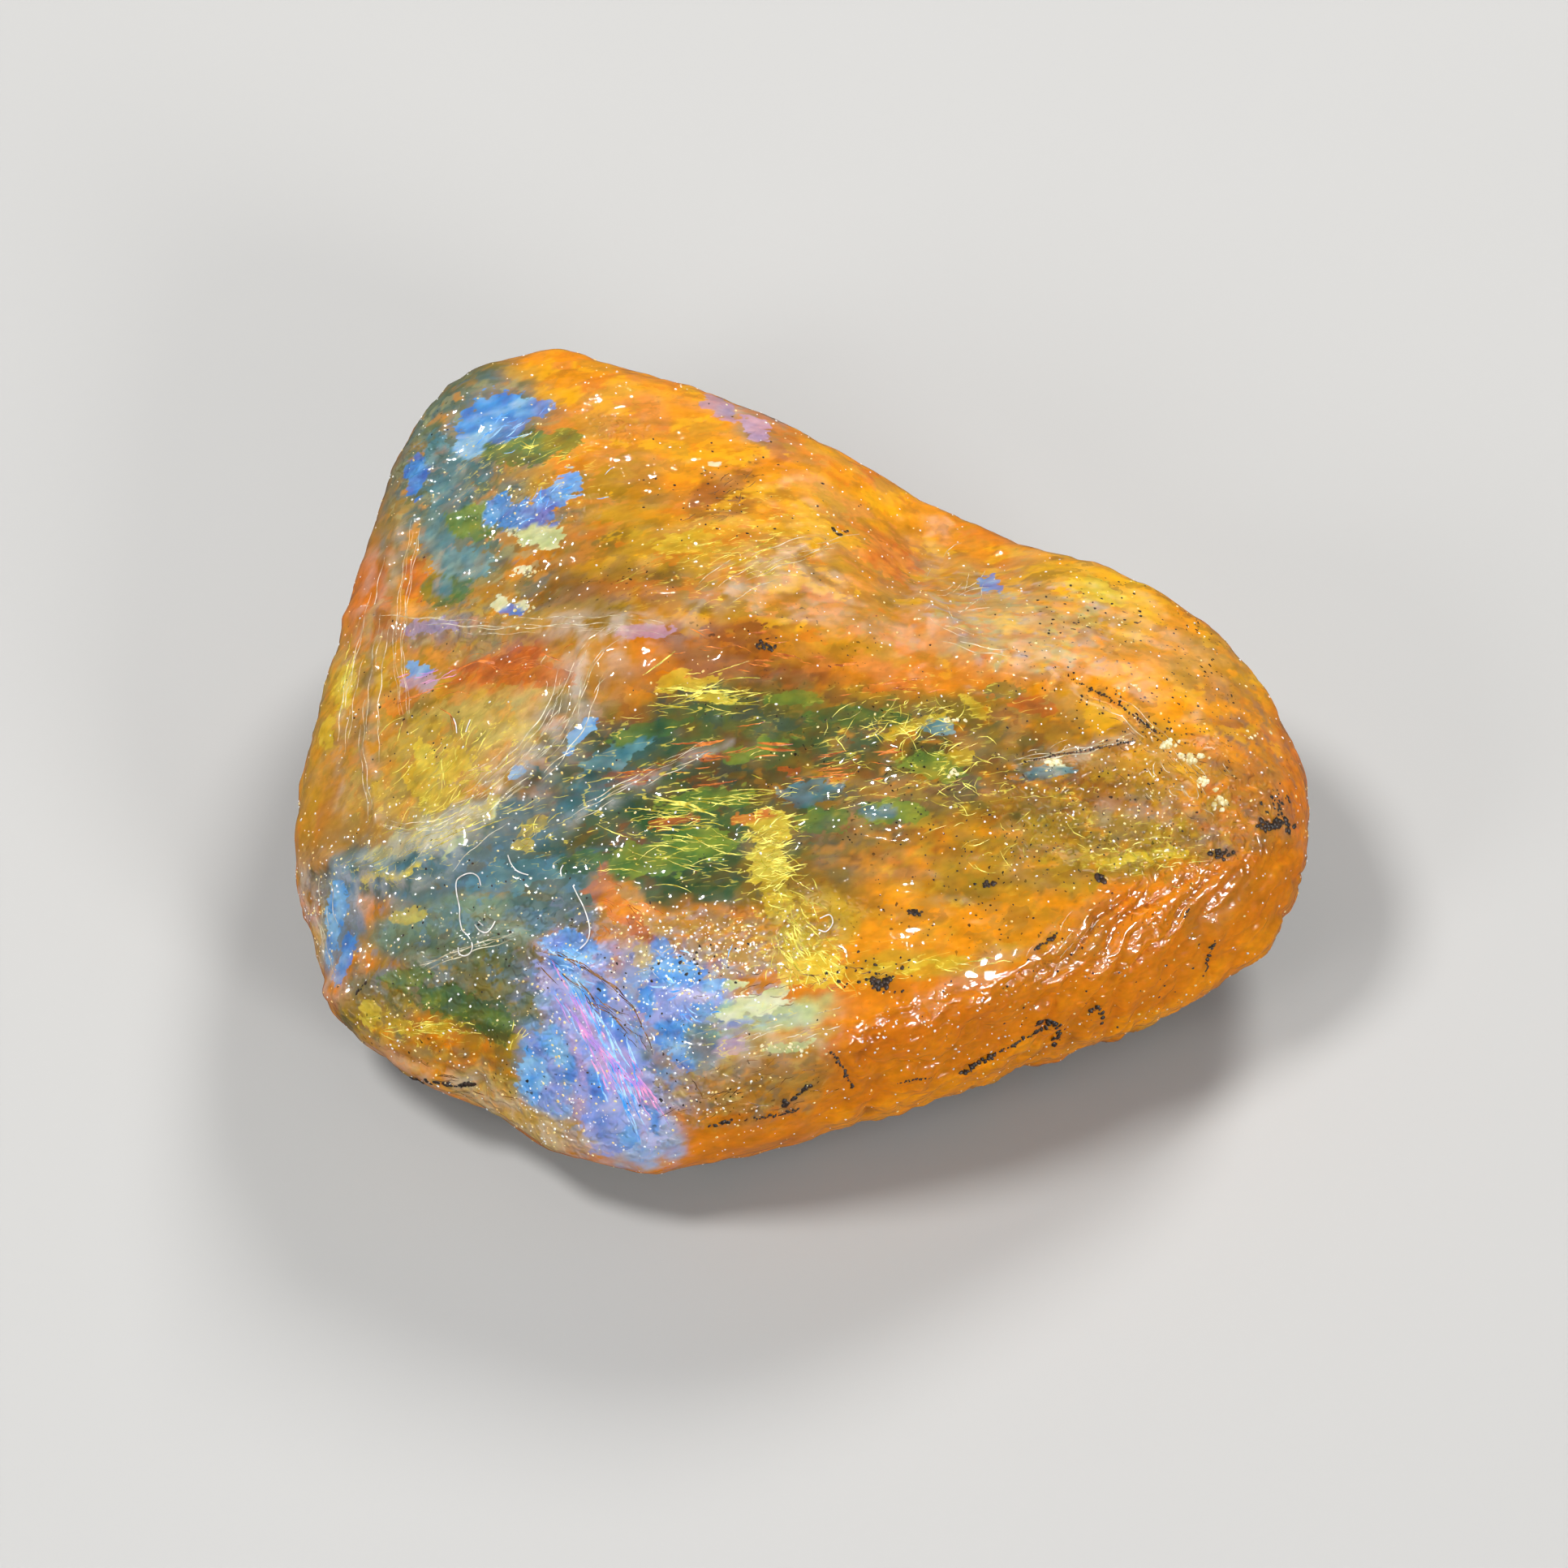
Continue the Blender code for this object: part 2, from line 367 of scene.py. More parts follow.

# %% [markdown]
# The body colour comes first, as washes: large soft ovals of one colour each, laid over one
# another from back to front like washes of paint, with wandering edges. Each is placed by the
# pixel where its middle shows in the photograph, and fades out on faces turned away from there.
# On the front side, the bright orange bands along the lower edge are painted glow of light that
# has passed through the stone.

# %% Body washes
WASHES = (
    # pixel right, pixel down, half length, half width, turn, colour, strength
    # the orange slope behind
    (880, 560, 300, 170, -28, "bright orange", 1.0),
    (1060, 640, 210, 80, -32, "bright orange", 1.0),
    (1280, 700, 160, 60, -20, "amber", 1.0),
    (1440, 800, 170, 110, -38, "bright orange", 0.95),
    (560, 600, 100, 160, -12, "grey green", 0.95),
    (600, 540, 90, 70, 30, "slate", 0.5),
    (560, 470, 70, 26, 35, "moss", 0.7),
    (520, 520, 30, 60, -20, "grey green", 0.8),
    (735, 725, 120, 36, 5, "dark olive", 0.75),
    (750, 620, 70, 60, 0, "olive gold", 0.8),
    (720, 670, 60, 40, 0, "olive", 0.6),
    (846, 668, 80, 30, 10, "gold", 0.8),
    (783, 512, 50, 26, 20, "salmon", 0.6),
    (890, 615, 54, 28, 25, "rust brown", 0.8),
    (930, 520, 50, 24, -35, "lavender grey", 0.8),
    (950, 548, 30, 14, -35, "rust brown", 0.7),
    (963, 676, 120, 40, 25, "tan gold", 0.6),
    (757, 757, 130, 20, 5, "olive gold", 0.7),
    (980, 730, 170, 46, -5, "olive", 0.6),
    (1096, 692, 60, 40, -20, "pinkish brown", 0.6),
    (1100, 740, 150, 40, 0, "deep orange", 0.5),
    (1060, 780, 180, 30, -5, "tan gold", 0.5),
    (1060, 735, 70, 36, -10, "tan gold", 0.6),
    (1070, 745, 150, 50, -5, "olive gold", 0.35),
    (1172, 704, 50, 50, 30, "tan gold", 0.8),
    (1200, 664, 60, 24, -15, "amber", 0.8),
    (1270, 700, 46, 30, -20, "mint grey", 0.5),
    (1252, 780, 90, 46, -10, "lavender grey", 0.6),
    (1245, 772, 54, 34, -20, "cream", 0.6),
    (1300, 800, 60, 30, -20, "salmon", 0.5),
    (1352, 728, 90, 40, -20, "yellow amber", 0.9),
    (1500, 830, 60, 80, -50, "tan gold", 0.7),
    (1500, 900, 70, 50, -50, "pinkish brown", 0.6),
    (1396, 780, 90, 24, -25, "tan", 0.4),
    (1352, 852, 150, 44, -20, "bright orange", 0.9),
    # the left face
    (550, 860, 190, 110, 10, "tan gold", 0.9),
    (450, 780, 28, 180, -14, "tan", 0.7),
    (443, 757, 20, 90, -16, "deep orange", 0.8),
    (424, 850, 14, 44, -14, "yellow", 0.95),
    (400, 930, 18, 70, -10, "amber", 0.7),
    (630, 825, 80, 40, 8, "red orange", 0.85),
    (512, 720, 24, 50, -10, "bright orange", 0.9),
    (530, 773, 60, 18, 5, "mauve", 0.7),
    (600, 790, 70, 16, 0, "mauve", 0.4),
    (545, 884, 50, 22, 0, "olive", 0.7),
    (567, 882, 26, 18, 0, "salmon", 0.6),
    (530, 950, 110, 66, 20, "straw", 0.6),
    (640, 930, 56, 80, -24, "cream", 0.6),
    (545, 1035, 80, 24, 18, "cream", 0.9),
    (600, 880, 60, 26, 10, "straw", 0.5),
    (500, 990, 60, 40, 30, "straw", 0.5),
    (400, 900, 20, 120, -12, "gold", 0.5),
    (372, 1010, 16, 90, -8, "tan gold", 0.7),
    (586, 904, 40, 50, 0, "straw", 0.6),
    (600, 960, 60, 30, 35, "amber", 0.6),
    (440, 970, 46, 100, -6, "tan", 0.6),
    (440, 1040, 70, 40, 10, "tan", 0.7),
    (720, 840, 60, 90, -15, "tan", 0.5),
    (700, 900, 30, 60, -20, "slate", 0.4),
    # the basin
    (919, 805, 110, 40, -6, "rust brown", 0.85),
    (880, 870, 120, 30, 5, "olive", 0.8),
    (800, 940, 150, 70, 15, "teal", 1.0),
    (860, 975, 210, 90, 6, "dark green", 0.55),
    (700, 985, 46, 36, 30, "milky green", 0.6),
    (700, 990, 110, 60, 35, "slate teal", 0.8),
    (980, 900, 170, 60, 0, "moss", 0.8),
    (1076, 905, 170, 60, -3, "moss", 0.85),
    (830, 1050, 180, 70, 3, "dark green", 1.0),
    (1000, 1000, 150, 60, 5, "dark green", 0.9),
    (930, 960, 90, 24, 8, "dark olive", 0.7),
    (776, 957, 50, 12, 6, "rust brown", 0.5),
    (885, 935, 60, 12, 10, "rust brown", 0.4),
    (975, 950, 50, 12, 8, "rust brown", 0.4),
    (1028, 962, 30, 10, 8, "bright orange", 0.5),
    (1070, 955, 150, 66, 0, "dark green", 0.5),
    (955, 1060, 40, 90, 4, "olive gold", 0.7),
    (1052, 1046, 44, 42, 0, "mushroom", 0.8),
    (1040, 1110, 80, 50, 0, "olive", 0.8),
    (1170, 960, 110, 60, -10, "dark olive", 0.8),
    (1250, 900, 120, 40, -10, "olive", 0.7),
    (1312, 985, 190, 50, -3, "umber", 0.85),
    (1400, 920, 110, 40, -30, "tan gold", 0.6),
    (1292, 952, 46, 16, 8, "slate teal", 0.6),
    (1164, 1080, 120, 60, 15, "amber", 0.9),
    (1300, 1060, 170, 50, 8, "olive gold", 0.8),
    (1180, 1150, 150, 40, 10, "amber", 0.9),
    (1400, 1040, 110, 36, 5, "olive gold", 0.6),
    (1528, 970, 60, 90, -10, "pinkish brown", 0.8),
    (1584, 950, 22, 80, 10, "deep orange", 0.8),
    # the lower left
    (578, 1050, 120, 50, 22, "slate", 1.0),
    (454, 1075, 90, 30, 8, "slate teal", 0.8),
    (530, 1032, 84, 13, 20, "cream", 0.8),
    (417, 1130, 26, 70, -10, "steel blue", 0.85),
    (390, 1160, 16, 70, -14, "straw", 0.6),
    (571, 1140, 130, 44, 8, "milky green", 1.0),
    (690, 1100, 70, 60, 0, "slate teal", 0.9),
    (593, 1210, 110, 60, -10, "moss", 0.95),
    (465, 1247, 50, 50, 0, "olive gold", 0.9),
    (534, 1240, 60, 18, -4, "dark green", 0.4),
    (560, 1222, 60, 20, -4, "olive gold", 0.5),
    (508, 1318, 130, 26, -14, "amber", 1.0),
    (637, 1372, 90, 44, -25, "straw", 0.75),
    (640, 1290, 40, 50, -20, "moss", 0.6),
    # the blue facet and what lies round it
    (745, 1290, 58, 122, 19, "periwinkle", 0.95),
    (780, 1320, 40, 100, 22, "light azure", 0.7),
    (670, 1320, 36, 60, 10, "azure", 0.85),
    (721, 1270, 18, 80, 24, "lilac", 0.8),
    (787, 1335, 16, 60, 30, "lilac", 0.8),
    (838, 1217, 80, 50, -20, "azure", 0.8),
    (846, 1300, 50, 50, 0, "slate teal", 0.8),
    (930, 1247, 90, 26, 5, "mint", 0.8),
    (765, 1111, 40, 34, -40, "amber", 0.9),
    (893, 1158, 110, 34, -3, "tan", 0.9),
    (780, 1405, 60, 36, 0, "pale blue", 0.8),
    (740, 1232, 95, 9, -42, "umber", 0.5),
    (926, 1330, 110, 36, 8, "tan", 0.8),
    (890, 1290, 60, 26, 0, "lavender grey", 0.6),
    (960, 1290, 80, 16, 15, "straw", 0.6),
    (1000, 1150, 60, 50, 0, "gold", 0.6),
    (1120, 1195, 90, 16, 6, "gold", 0.6),
)
SIDE_WASHES_AND_GLOW = (
    # the bright orange bands along the lower edge are painted glow of light passing through
    (1250, 1330, 330, 26, 17, "bright orange", 0.8),
    (1480, 1240, 160, 30, 42, "bright orange", 0.6),
    (960, 1395, 110, 22, 8, "bright orange", 0.8),
    (1120, 1262, 150, 20, 12, "deep orange", 0.4),
    (1330, 1150, 70, 26, 50, "tan", 0.4),
    (1500, 1110, 60, 40, 40, "tan", 0.3),
    (900, 1340, 90, 20, 20, "tan", 0.5),
)
WASH_REACH = 1.35  # how far a wash runs past its oval
WASH_EDGE = (0.12, 0.58)
BROAD_WAVER, FINE_WAVER = 20, 14  # pixels by which an edge wanders
body = np.tile(np.array(PALETTE["side amber"]), (len(points), 1))
rough_edge_x = photo_x + BROAD_WAVER * wander(points, 2.6, 21)
rough_edge_x += FINE_WAVER * cloudy(points, 0.8, 22)
rough_edge_y = photo_y + BROAD_WAVER * wander(points, 2.6, 23)
rough_edge_y += FINE_WAVER * cloudy(points, 0.8, 24)
top_only = seen * (1 - front_side)


def lay(colour, cover):
    """Lay one colour over the body, as thick as cover says at each point."""
    global body
    body = body + cover[:, None] * (np.array(PALETTE[colour]) - body)


for washes, where in ((WASHES, top_only), (SIDE_WASHES_AND_GLOW, seen * front_side)):
    for *patch, colour, strength in washes:
        inward = WASH_REACH - in_patch(rough_edge_x, rough_edge_y, patch)
        lay(colour, strength * where * step(inward, *WASH_EDGE))
print(f"{len(WASHES) + len(SIDE_WASHES_AND_GLOW)} washes laid")

# %% [markdown]
# No wash is even: each holds flecks of the colours around it, because the real layers lie over
# one another inside the stone. The flecks are a cut through a fine noise, one noise for each
# colour, and every zone of the stone has its own few colours. Some are laid on softly, and
# some are stored apart, so that the material can tear their edges. The far side, which the
# photograph doesn't show, gets honey colours. Last, blue is taken out of all warm colours.

# %% Flecks
FLECK_ZONES = (
    # zone, size in mm, strength, colours
    ((950, 600, 330, 200, -28), 1.6, 0.6, ("yellow amber", "deep orange", "tan gold", "salmon")),
    ((950, 600, 330, 200, -28), 0.9, 0.35, ("amber", "umber")),
    ((590, 620, 110, 160, 0), 0.6, 0.6, ("slate", "moss", "slate teal", "amber", "mint grey")),
    ((540, 880, 170, 130, 0), 0.7, 0.5, ("straw", "amber", "olive", "salmon", "gold")),
    ((1400, 800, 230, 130, -30), 1.1, 0.55, ("yellow amber", "tan", "umber", "bright orange")),
    ((1250, 770, 110, 60, -10), 0.35, 0.8, ("lavender grey", "straw", "salmon", "mint grey")),
    ((900, 960, 270, 130, 0), 0.7, 0.6, ("teal", "olive", "dark olive", "moss", "rust brown")),
    ((1150, 960, 200, 110, 0), 0.6, 0.55, ("olive gold", "dark green", "rust brown", "amber")),
    ((1300, 1050, 260, 120, 5), 0.7, 0.5, ("amber", "umber", "olive gold", "tan", "gold")),
    ((570, 1130, 200, 110, 0), 0.6, 0.55, ("slate teal", "grey green", "steel blue", "olive")),
    ((560, 1260, 150, 70, -10), 0.5, 0.5, ("dark green", "olive gold", "grey green", "gold")),
    ((750, 1290, 90, 150, 19), 0.7, 0.6, ("azure", "light azure", "lilac", "periwinkle")),
    ((850, 1230, 110, 60, 0), 0.35, 0.7, ("deep blue", "pale blue", "lavender grey", "tan")),
    ((900, 1160, 130, 40, 0), 0.3, 0.6, ("straw", "rust brown", "lavender grey", "amber")),
    ((900, 1340, 130, 50, 8), 0.4, 0.5, ("straw", "umber", "slate teal", "amber")),
    ((500, 1320, 150, 50, -12), 0.4, 0.5, ("straw", "rust brown", "bright orange")),
    ((1540, 960, 80, 120, 0), 0.5, 0.5, ("bright orange", "mushroom", "deep orange")),
)
FLOW = (1.6, 1.0, 1.0)  # flecks are longer than wide
SOFT_FLECKS, TORN_FLECKS = 0.45, 0.8  # how much each kind covers
FLECK_CUT, FLECK_SLOPE = 0.3, 1.6
FIRST_FLECK_SEED, TORN_SEED = 200, 500
fleck_seed = FIRST_FLECK_SEED
fleck_depth = np.zeros(len(points))
fleck_cover = np.zeros(len(points))
fleck_colour = np.tile(np.array(PALETTE["amber"]), (len(points), 1))
for zone, size, strength, colours in FLECK_ZONES:
    inside = step(1.3 - in_patch(rough_edge_x, rough_edge_y, zone), 0.0, 0.5)
    zone_cover = strength * top_only * inside
    for colour in colours:
        fleck_seed += 1
        field = cloudy(points, 1.4 * size, fleck_seed, 3, FLOW)
        lay(colour, SOFT_FLECKS * zone_cover * step(field, 0.06, 0.4))
        field = cloudy(points, size, fleck_seed + TORN_SEED, 3, FLOW)
        depth = np.clip(0.5 + FLECK_SLOPE * (field - FLECK_CUT), 0, 1)
        wins = depth * (zone_cover > 0.02) > fleck_depth
        fleck_depth[wins] = depth[wins]
        fleck_cover[wins] = TORN_FLECKS * zone_cover[wins]
        fleck_colour[wins] = PALETTE[colour]
print(f"{fleck_seed - FIRST_FLECK_SEED} kinds of fleck in {len(FLECK_ZONES)} zones")

# %% Tones of the sides
UNEVENNESS = 0.22
BLUE_LOST = 0.4
in_crease = np.clip(-(front_folds * front_side) / FOLD_DEPTH, 0, 1)
SOFT_TONES = ("bright orange", "tan gold", "deep orange", "olive gold", "yellow amber")
for i, colour in enumerate(SOFT_TONES):
    lay(colour, 0.55 * (1 - seen) * step(cloudy(points, 3.0, 300 + i, 4), 0.08, 0.4))
side_tone = cloudy(points, 1.6, 310, 3, (2, 1, 1))
lay("deep orange", 0.3 * seen * front_side * step(side_tone, 0.1, 0.5))
lay("amber", 0.35 * seen * front_side * step(-side_tone, 0.1, 0.5))
uneven = cloudy(points, 0.9, 320, 3, FLOW)
body *= (1 + UNEVENNESS * uneven * (0.35 + 0.65 * top_only))[:, None]
# painted shade: the creases of the folds are darkened with rust brown
lay("rust brown", 0.25 * in_crease)
body = np.clip(body, 0.0, 0.98)
for colours in (body, fleck_colour):
    warm = step(colours[:, 0] - colours[:, 2], 0.1, 0.4)
    colours[:, 2] *= 1 - BLUE_LOST * warm  # honey opal swallows blue light
print("mean colour of the body", body.mean(0).round(2))

# %% [markdown]
# Then come the flashes, which are what makes opal precious: films of tiny silica spheres that
# send back one pure colour each, with edges as torn as old paper. They are written as ovals by
# family of colour. What is stored on the skin is the flash's colour and how deep inside it each
# point lies, so that the material can tear the edge with fine noise at any zoom.

# %% Flashes
FLASH_TONES = {
    # deep, middle and light tone of each family, and how much it covers
    "teal": ((34, 84, 92), (72, 140, 160), (124, 184, 192), 0.6),
    "green": ((34, 80, 44), (76, 122, 46), (136, 158, 50), 0.75),
    "ember": ((150, 66, 24), (214, 98, 30), (248, 152, 50), 0.65),
    "violet": ((140, 138, 204), (184, 162, 214), (224, 178, 208), 0.6),
    "blue": ((26, 102, 204), (62, 158, 238), (152, 210, 250), 0.8),
    "gold": ((168, 142, 24), (232, 196, 44), (252, 228, 76), 0.65),
    "facet": ((92, 130, 216), (150, 166, 232), (214, 206, 240), 0.85),
    "pale": ((186, 204, 134), (222, 228, 168), (242, 242, 206), 0.9),
}
FLASHES = {
    "teal": (
        (555, 600, 26, 40, 0), (570, 695, 36, 18, 10), (540, 660, 20, 30, 0),
        (545, 724, 24, 18, 0),
        (540, 560, 16, 24, 0), (590, 580, 20, 16, 0), (1000, 975, 40, 14, 6),
        (1090, 1000, 30, 12, 0),
        (1156, 896, 20, 9, 0), (760, 930, 44, 12, 25), (720, 980, 40, 18, 40),
        (640, 1080, 60, 18, 10),
        (480, 1065, 50, 10, 6), (860, 1290, 24, 30, 0), (1292, 952, 30, 8, 5),
    ),
    "green": (
        (650, 552, 44, 20, 8), (690, 545, 26, 14, 0), (610, 556, 20, 14, 10),
        (567, 640, 28, 20, 25),
        (590, 655, 16, 10, 0), (545, 724, 30, 18, 0), (800, 900, 50, 10, 12),
        (870, 985, 60, 14, 6),
        (800, 1060, 60, 20, 4), (860, 1040, 50, 16, 0), (1060, 885, 60, 14, -4),
        (1150, 945, 40, 14, -10),
        (930, 925, 46, 10, 12), (560, 1235, 50, 18, -10), (500, 1205, 30, 12, 10),
        (610, 1262, 30, 18, -40),
        (1100, 1000, 40, 14, 0), (720, 1062, 40, 12, 10), (1240, 850, 26, 9, 0),
        (980, 860, 30, 8, 0),
        (1010, 1010, 30, 14, 0),
    ),
    "ember": (
        (626, 825, 40, 18, 8), (585, 817, 26, 6, 15), (680, 832, 26, 14, 0),
        (500, 862, 8, 22, -40),
        (487, 872, 8, 12, -40), (650, 805, 22, 7, 0), (740, 1095, 18, 14, 0),
        (762, 1120, 22, 14, -40),
        (785, 1142, 22, 10, -50), (748, 1072, 10, 14, 0), (1213, 808, 8, 4, 0),
        (776, 957, 40, 8, 6),
        (885, 935, 26, 5, 10), (975, 950, 20, 5, 8), (1028, 962, 16, 5, 8), (1100, 845, 40, 7, 4),
        (512, 715, 14, 26, -10), (470, 760, 8, 24, -14),
        (1096, 690, 36, 16, -25), (830, 1012, 30, 6, 8), (930, 1008, 30, 7, 8),
        (1270, 870, 30, 9, -10),
    ),
    "violet": (
        (721, 1262, 10, 56, 24), (745, 1320, 9, 40, 24), (787, 1335, 12, 50, 30),
        (770, 1300, 8, 30, 24),
        (700, 1240, 6, 26, 20), (517, 840, 22, 12, 10), (530, 773, 30, 10, 8),
        (886, 502, 22, 12, -35),
        (932, 527, 20, 12, -35),
        (790, 778, 36, 8, 0), (895, 1290, 26, 10, 0), (905, 1262, 18, 7, 0),
        (735, 1275, 9, 44, 24),
        (765, 1345, 9, 40, 26), (712, 1300, 7, 40, 20),
    ),
    "blue": (
        (604, 514, 40, 24, 30), (582, 543, 26, 16, 45), (652, 506, 26, 12, 20),
        (620, 530, 24, 14, 30),
        (513, 585, 12, 26, -10), (692, 605, 26, 16, 45), (645, 636, 36, 18, 0),
        (612, 628, 20, 14, 30),
        (668, 622, 22, 12, 30), (632, 749, 14, 7, 0), (517, 829, 16, 10, 0), (637, 953, 14, 8, 40),
        (717, 901, 24, 9, 35), (700, 925, 10, 5, 40), (415, 1120, 10, 34, -10),
        (425, 1180, 8, 30, -15),
        (408, 1160, 7, 26, -12), (706, 1172, 34, 22, -20), (690, 1190, 18, 24, 10),
        (740, 1240, 18, 40, 22),
        (664, 1325, 24, 30, 0),
        (682, 1290, 12, 28, 15),
        (712, 1215, 16, 34, 22), (760, 1270, 12, 40, 24), (735, 1330, 10, 36, 18),
        (800, 1370, 10, 30, 28),
        (775, 1400, 14, 16, 0), (695, 1300, 10, 40, 12), (838, 1200, 30, 18, -10),
        (864, 1243, 20, 14, 0), (830, 1270, 20, 22, 0), (815, 1170, 16, 12, 0),
        (880, 1215, 16, 9, 0), (800, 1235, 16, 20, 20), (846, 1300, 16, 20, 0),
        (1222, 722, 14, 10, 0),
    ),
    "gold": (
        (950, 1020, 24, 20, 10), (946, 1060, 22, 34, 6), (958, 1105, 18, 26, 10),
        (985, 1160, 24, 26, -10),
        (1012, 1195, 26, 20, -20), (975, 1190, 16, 20, 0), (1150, 1188, 40, 7, 8),
        (1085, 1190, 20, 7, 0),
        (520, 965, 16, 22, 20), (560, 940, 26, 16, 40), (548, 985, 30, 12, 25),
        (521, 930, 12, 18, 0),
        (590, 1000, 30, 9, 30), (424, 846, 9, 28, -14), (403, 898, 6, 20, -12),
        (531, 1268, 34, 8, 4),
        (490, 1262, 16, 6, 0), (634, 1284, 9, 14, -30), (455, 1250, 14, 16, 0),
        (655, 1022, 18, 8, 40),
        (640, 1040, 12, 6, 0), (850, 845, 34, 7, 6), (880, 860, 30, 5, -4), (830, 832, 20, 6, 20),
        (1120, 895, 40, 8, 20), (1180, 935, 20, 10, 30), (1200, 870, 24, 6, -30),
        (846, 668, 40, 12, 10),
        (1352, 728, 34, 12, -20), (1440, 1052, 30, 7, 0), (1380, 1060, 24, 7, 10),
        (500, 1128, 22, 8, 10),
        (480, 1078, 40, 5, 15), (790, 1180, 10, 12, 0), (815, 1170, 8, 10, 0),
    ),
    "pale": (
        (662, 659, 30, 14, -8), (646, 703, 12, 6, 0), (616, 740, 10, 7, 30), (640, 745, 10, 6, 0),
        (930, 1238, 40, 12, 6), (955, 1225, 22, 6, 15), (900, 1215, 16, 5, 10),
        (900, 1250, 20, 6, 0),
        (972, 1290, 30, 6, 15), (1300, 938, 11, 5, -10), (880, 570, 8, 5, 0),
        (560, 1040, 16, 5, 40),
        (612, 1000, 12, 4, 45),
    ),
    "facet": (
        (735, 1270, 42, 100, 20), (775, 1340, 30, 70, 26), (700, 1200, 34, 30, -20),
        (756, 1385, 34, 30, 0),
        (672, 1325, 18, 40, 10), (840, 1235, 44, 30, 0),
    ),
}
FLASH_WAVER = 8  # pixels
FLASH_REACH = 1.6
torn_x = photo_x + FLASH_WAVER * cloudy(points, 0.8, 25)
torn_y = photo_y + FLASH_WAVER * cloudy(points, 0.8, 26)
tone_at = 0.5 + 0.7 * cloudy(points, 0.55, 27, 3, FLOW)
flash_rng = random.Random(11)
flash_depth = np.zeros(len(points))
flash_colour = body.copy()
flash_cover = np.zeros(len(points))


def flash(family, depth):
    """Add one flash: keep its colour wherever it lies deeper than those before it."""
    global flash_depth
    *tones, most = FLASH_TONES[family]
    deep, middle, light = (np.array(seen_colour(*tone)) for tone in tones)
    tone = np.clip(tone_at + flash_rng.uniform(-0.3, 0.3), 0, 1)[:, None]
    darker = deep + (middle - deep) * 2 * tone
    lighter = middle + (light - middle) * (2 * tone - 1)
    colour = np.where(tone < 0.5, darker, lighter)
    wins = depth > flash_depth
    flash_colour[wins] = colour[wins]
    flash_cover[wins] = most * flash_rng.uniform(0.75, 1.0)
    flash_depth = np.maximum(flash_depth, depth)


towards_us = step(facing, 0.0, 0.15)
for family, patches in FLASHES.items():
    for patch in patches:
        depth = np.clip(FLASH_REACH - in_patch(torn_x, torn_y, patch), 0.0, 1.0)
        flash(family, depth * towards_us)
print(f"flashes cover {(flash_depth > 0.5).mean() * 100:.0f} % of the skin")

# %% [markdown]
# The photograph shows only the near side. The rest gets flashes too, drawn by lot and spread
# thinly, so that the stone looks like one stone when it is turned.

# %% Flashes on the sides that the photograph doesn't show
HIDDEN_FLASHES = {
    "teal": 8, "green": 14, "ember": 14, "violet": 5, "blue": 10, "gold": 18, "pale": 5
}
hidden = np.nonzero((facing < -0.1) & (points[:, 2] > 0.6))[0]
turned_away = step(-facing, -0.05, 0.1)
ragged = cloudy(points, 0.8, 28)
for family, count in HIDDEN_FLASHES.items():
    for _ in range(count):
        middle = points[hidden[flash_rng.randrange(len(hidden))]]
        wide = [flash_rng.uniform(0.4, 1.4) for _ in range(2)]
        size = np.array(wide + [flash_rng.uniform(0.2, 0.6)])
        away = np.linalg.norm((points - middle) / size, axis=1) + 0.4 * ragged
        flash(family, np.clip(FLASH_REACH - away, 0, 1) * turned_away)
print(f"{sum(HIDDEN_FLASHES.values())} flashes on the hidden sides")

# %% [markdown]
# Some values steer the finish: where the skin is milky, where bright hair strokes run, where the
# gloss breaks into pimples, and how strongly painted shade darkens the creases. The milk is laid
# on the body at once, because it is soft, and the others are left to the material.

# %% Veils of milk
VEILS = (
    # line of pixels, half width in pixels, strength
    (((440, 762), (600, 772), (677, 772)), 14, 0.12),
    (((470, 660), (448, 760), (425, 850), (415, 930), (420, 1000)), 8, 0.25),
    (((677, 775), (760, 768), (837, 777)), 16, 0.4),
    (((837, 777), (905, 710), (1000, 676)), 24, 0.26),
    (((780, 776), (722, 805), (700, 880), (645, 950),
        (560, 1020), (500, 1080), (440, 1092)), 34, 0.42),
    (((497, 652), (476, 740), (462, 800), (452, 880), (458, 960), (470, 1012)), 12, 0.22),
    (((470, 1012), (520, 1020), (560, 1010)), 12, 0.26),
    (((1150, 690), (1120, 740), (1180, 790), (1250, 800)), 27, 0.16),
    (((1200, 760), (1260, 790), (1320, 830)), 45, 0.12),
    (((1240, 940), (1330, 925), (1400, 905)), 9, 0.3),
    (((700, 1012), (770, 975), (835, 940), (900, 915)), 9, 0.45),
    (((512, 1192), (580, 1166), (635, 1150)), 18, 0.22),
    (((372, 1080), (385, 1150), (410, 1215)), 21, 0.41),
    (((440, 1290), (500, 1330), (590, 1345), (640, 1375), (700, 1410), (760, 1425)), 21, 0.38),
    (((840, 1330), (940, 1290), (1020, 1270)), 27, 0.3),
    (((1360, 1000), (1440, 1000), (1500, 1040)), 18, 0.19),
)
MILK = np.array(seen_colour(226, 221, 218))
HAZE = 0.05  # thin milk in clouds all over the top
VEIL_HIDES = 0.8  # how much of a flash or fleck a full veil hides
veil = np.zeros(len(points))
for line, half_width, strength in VEILS:
    veil = np.maximum(veil, strength * near_line(line, half_width))
veil *= step(cloudy(points, 0.7, 41, 4), -0.35, 0.25)
haze = HAZE * step(cloudy(points, 1.4, 42, 4, FLOW), 0.05, 0.5)
milk = np.maximum(veil, haze) * top_only
body += milk[:, None] * (MILK - body)
for layer_cover in (flash_cover, fleck_cover):
    layer_cover *= 1 - VEIL_HIDES * veil
print(f"milk on {(milk > 0.2).mean() * 100:.0f} % of the skin")

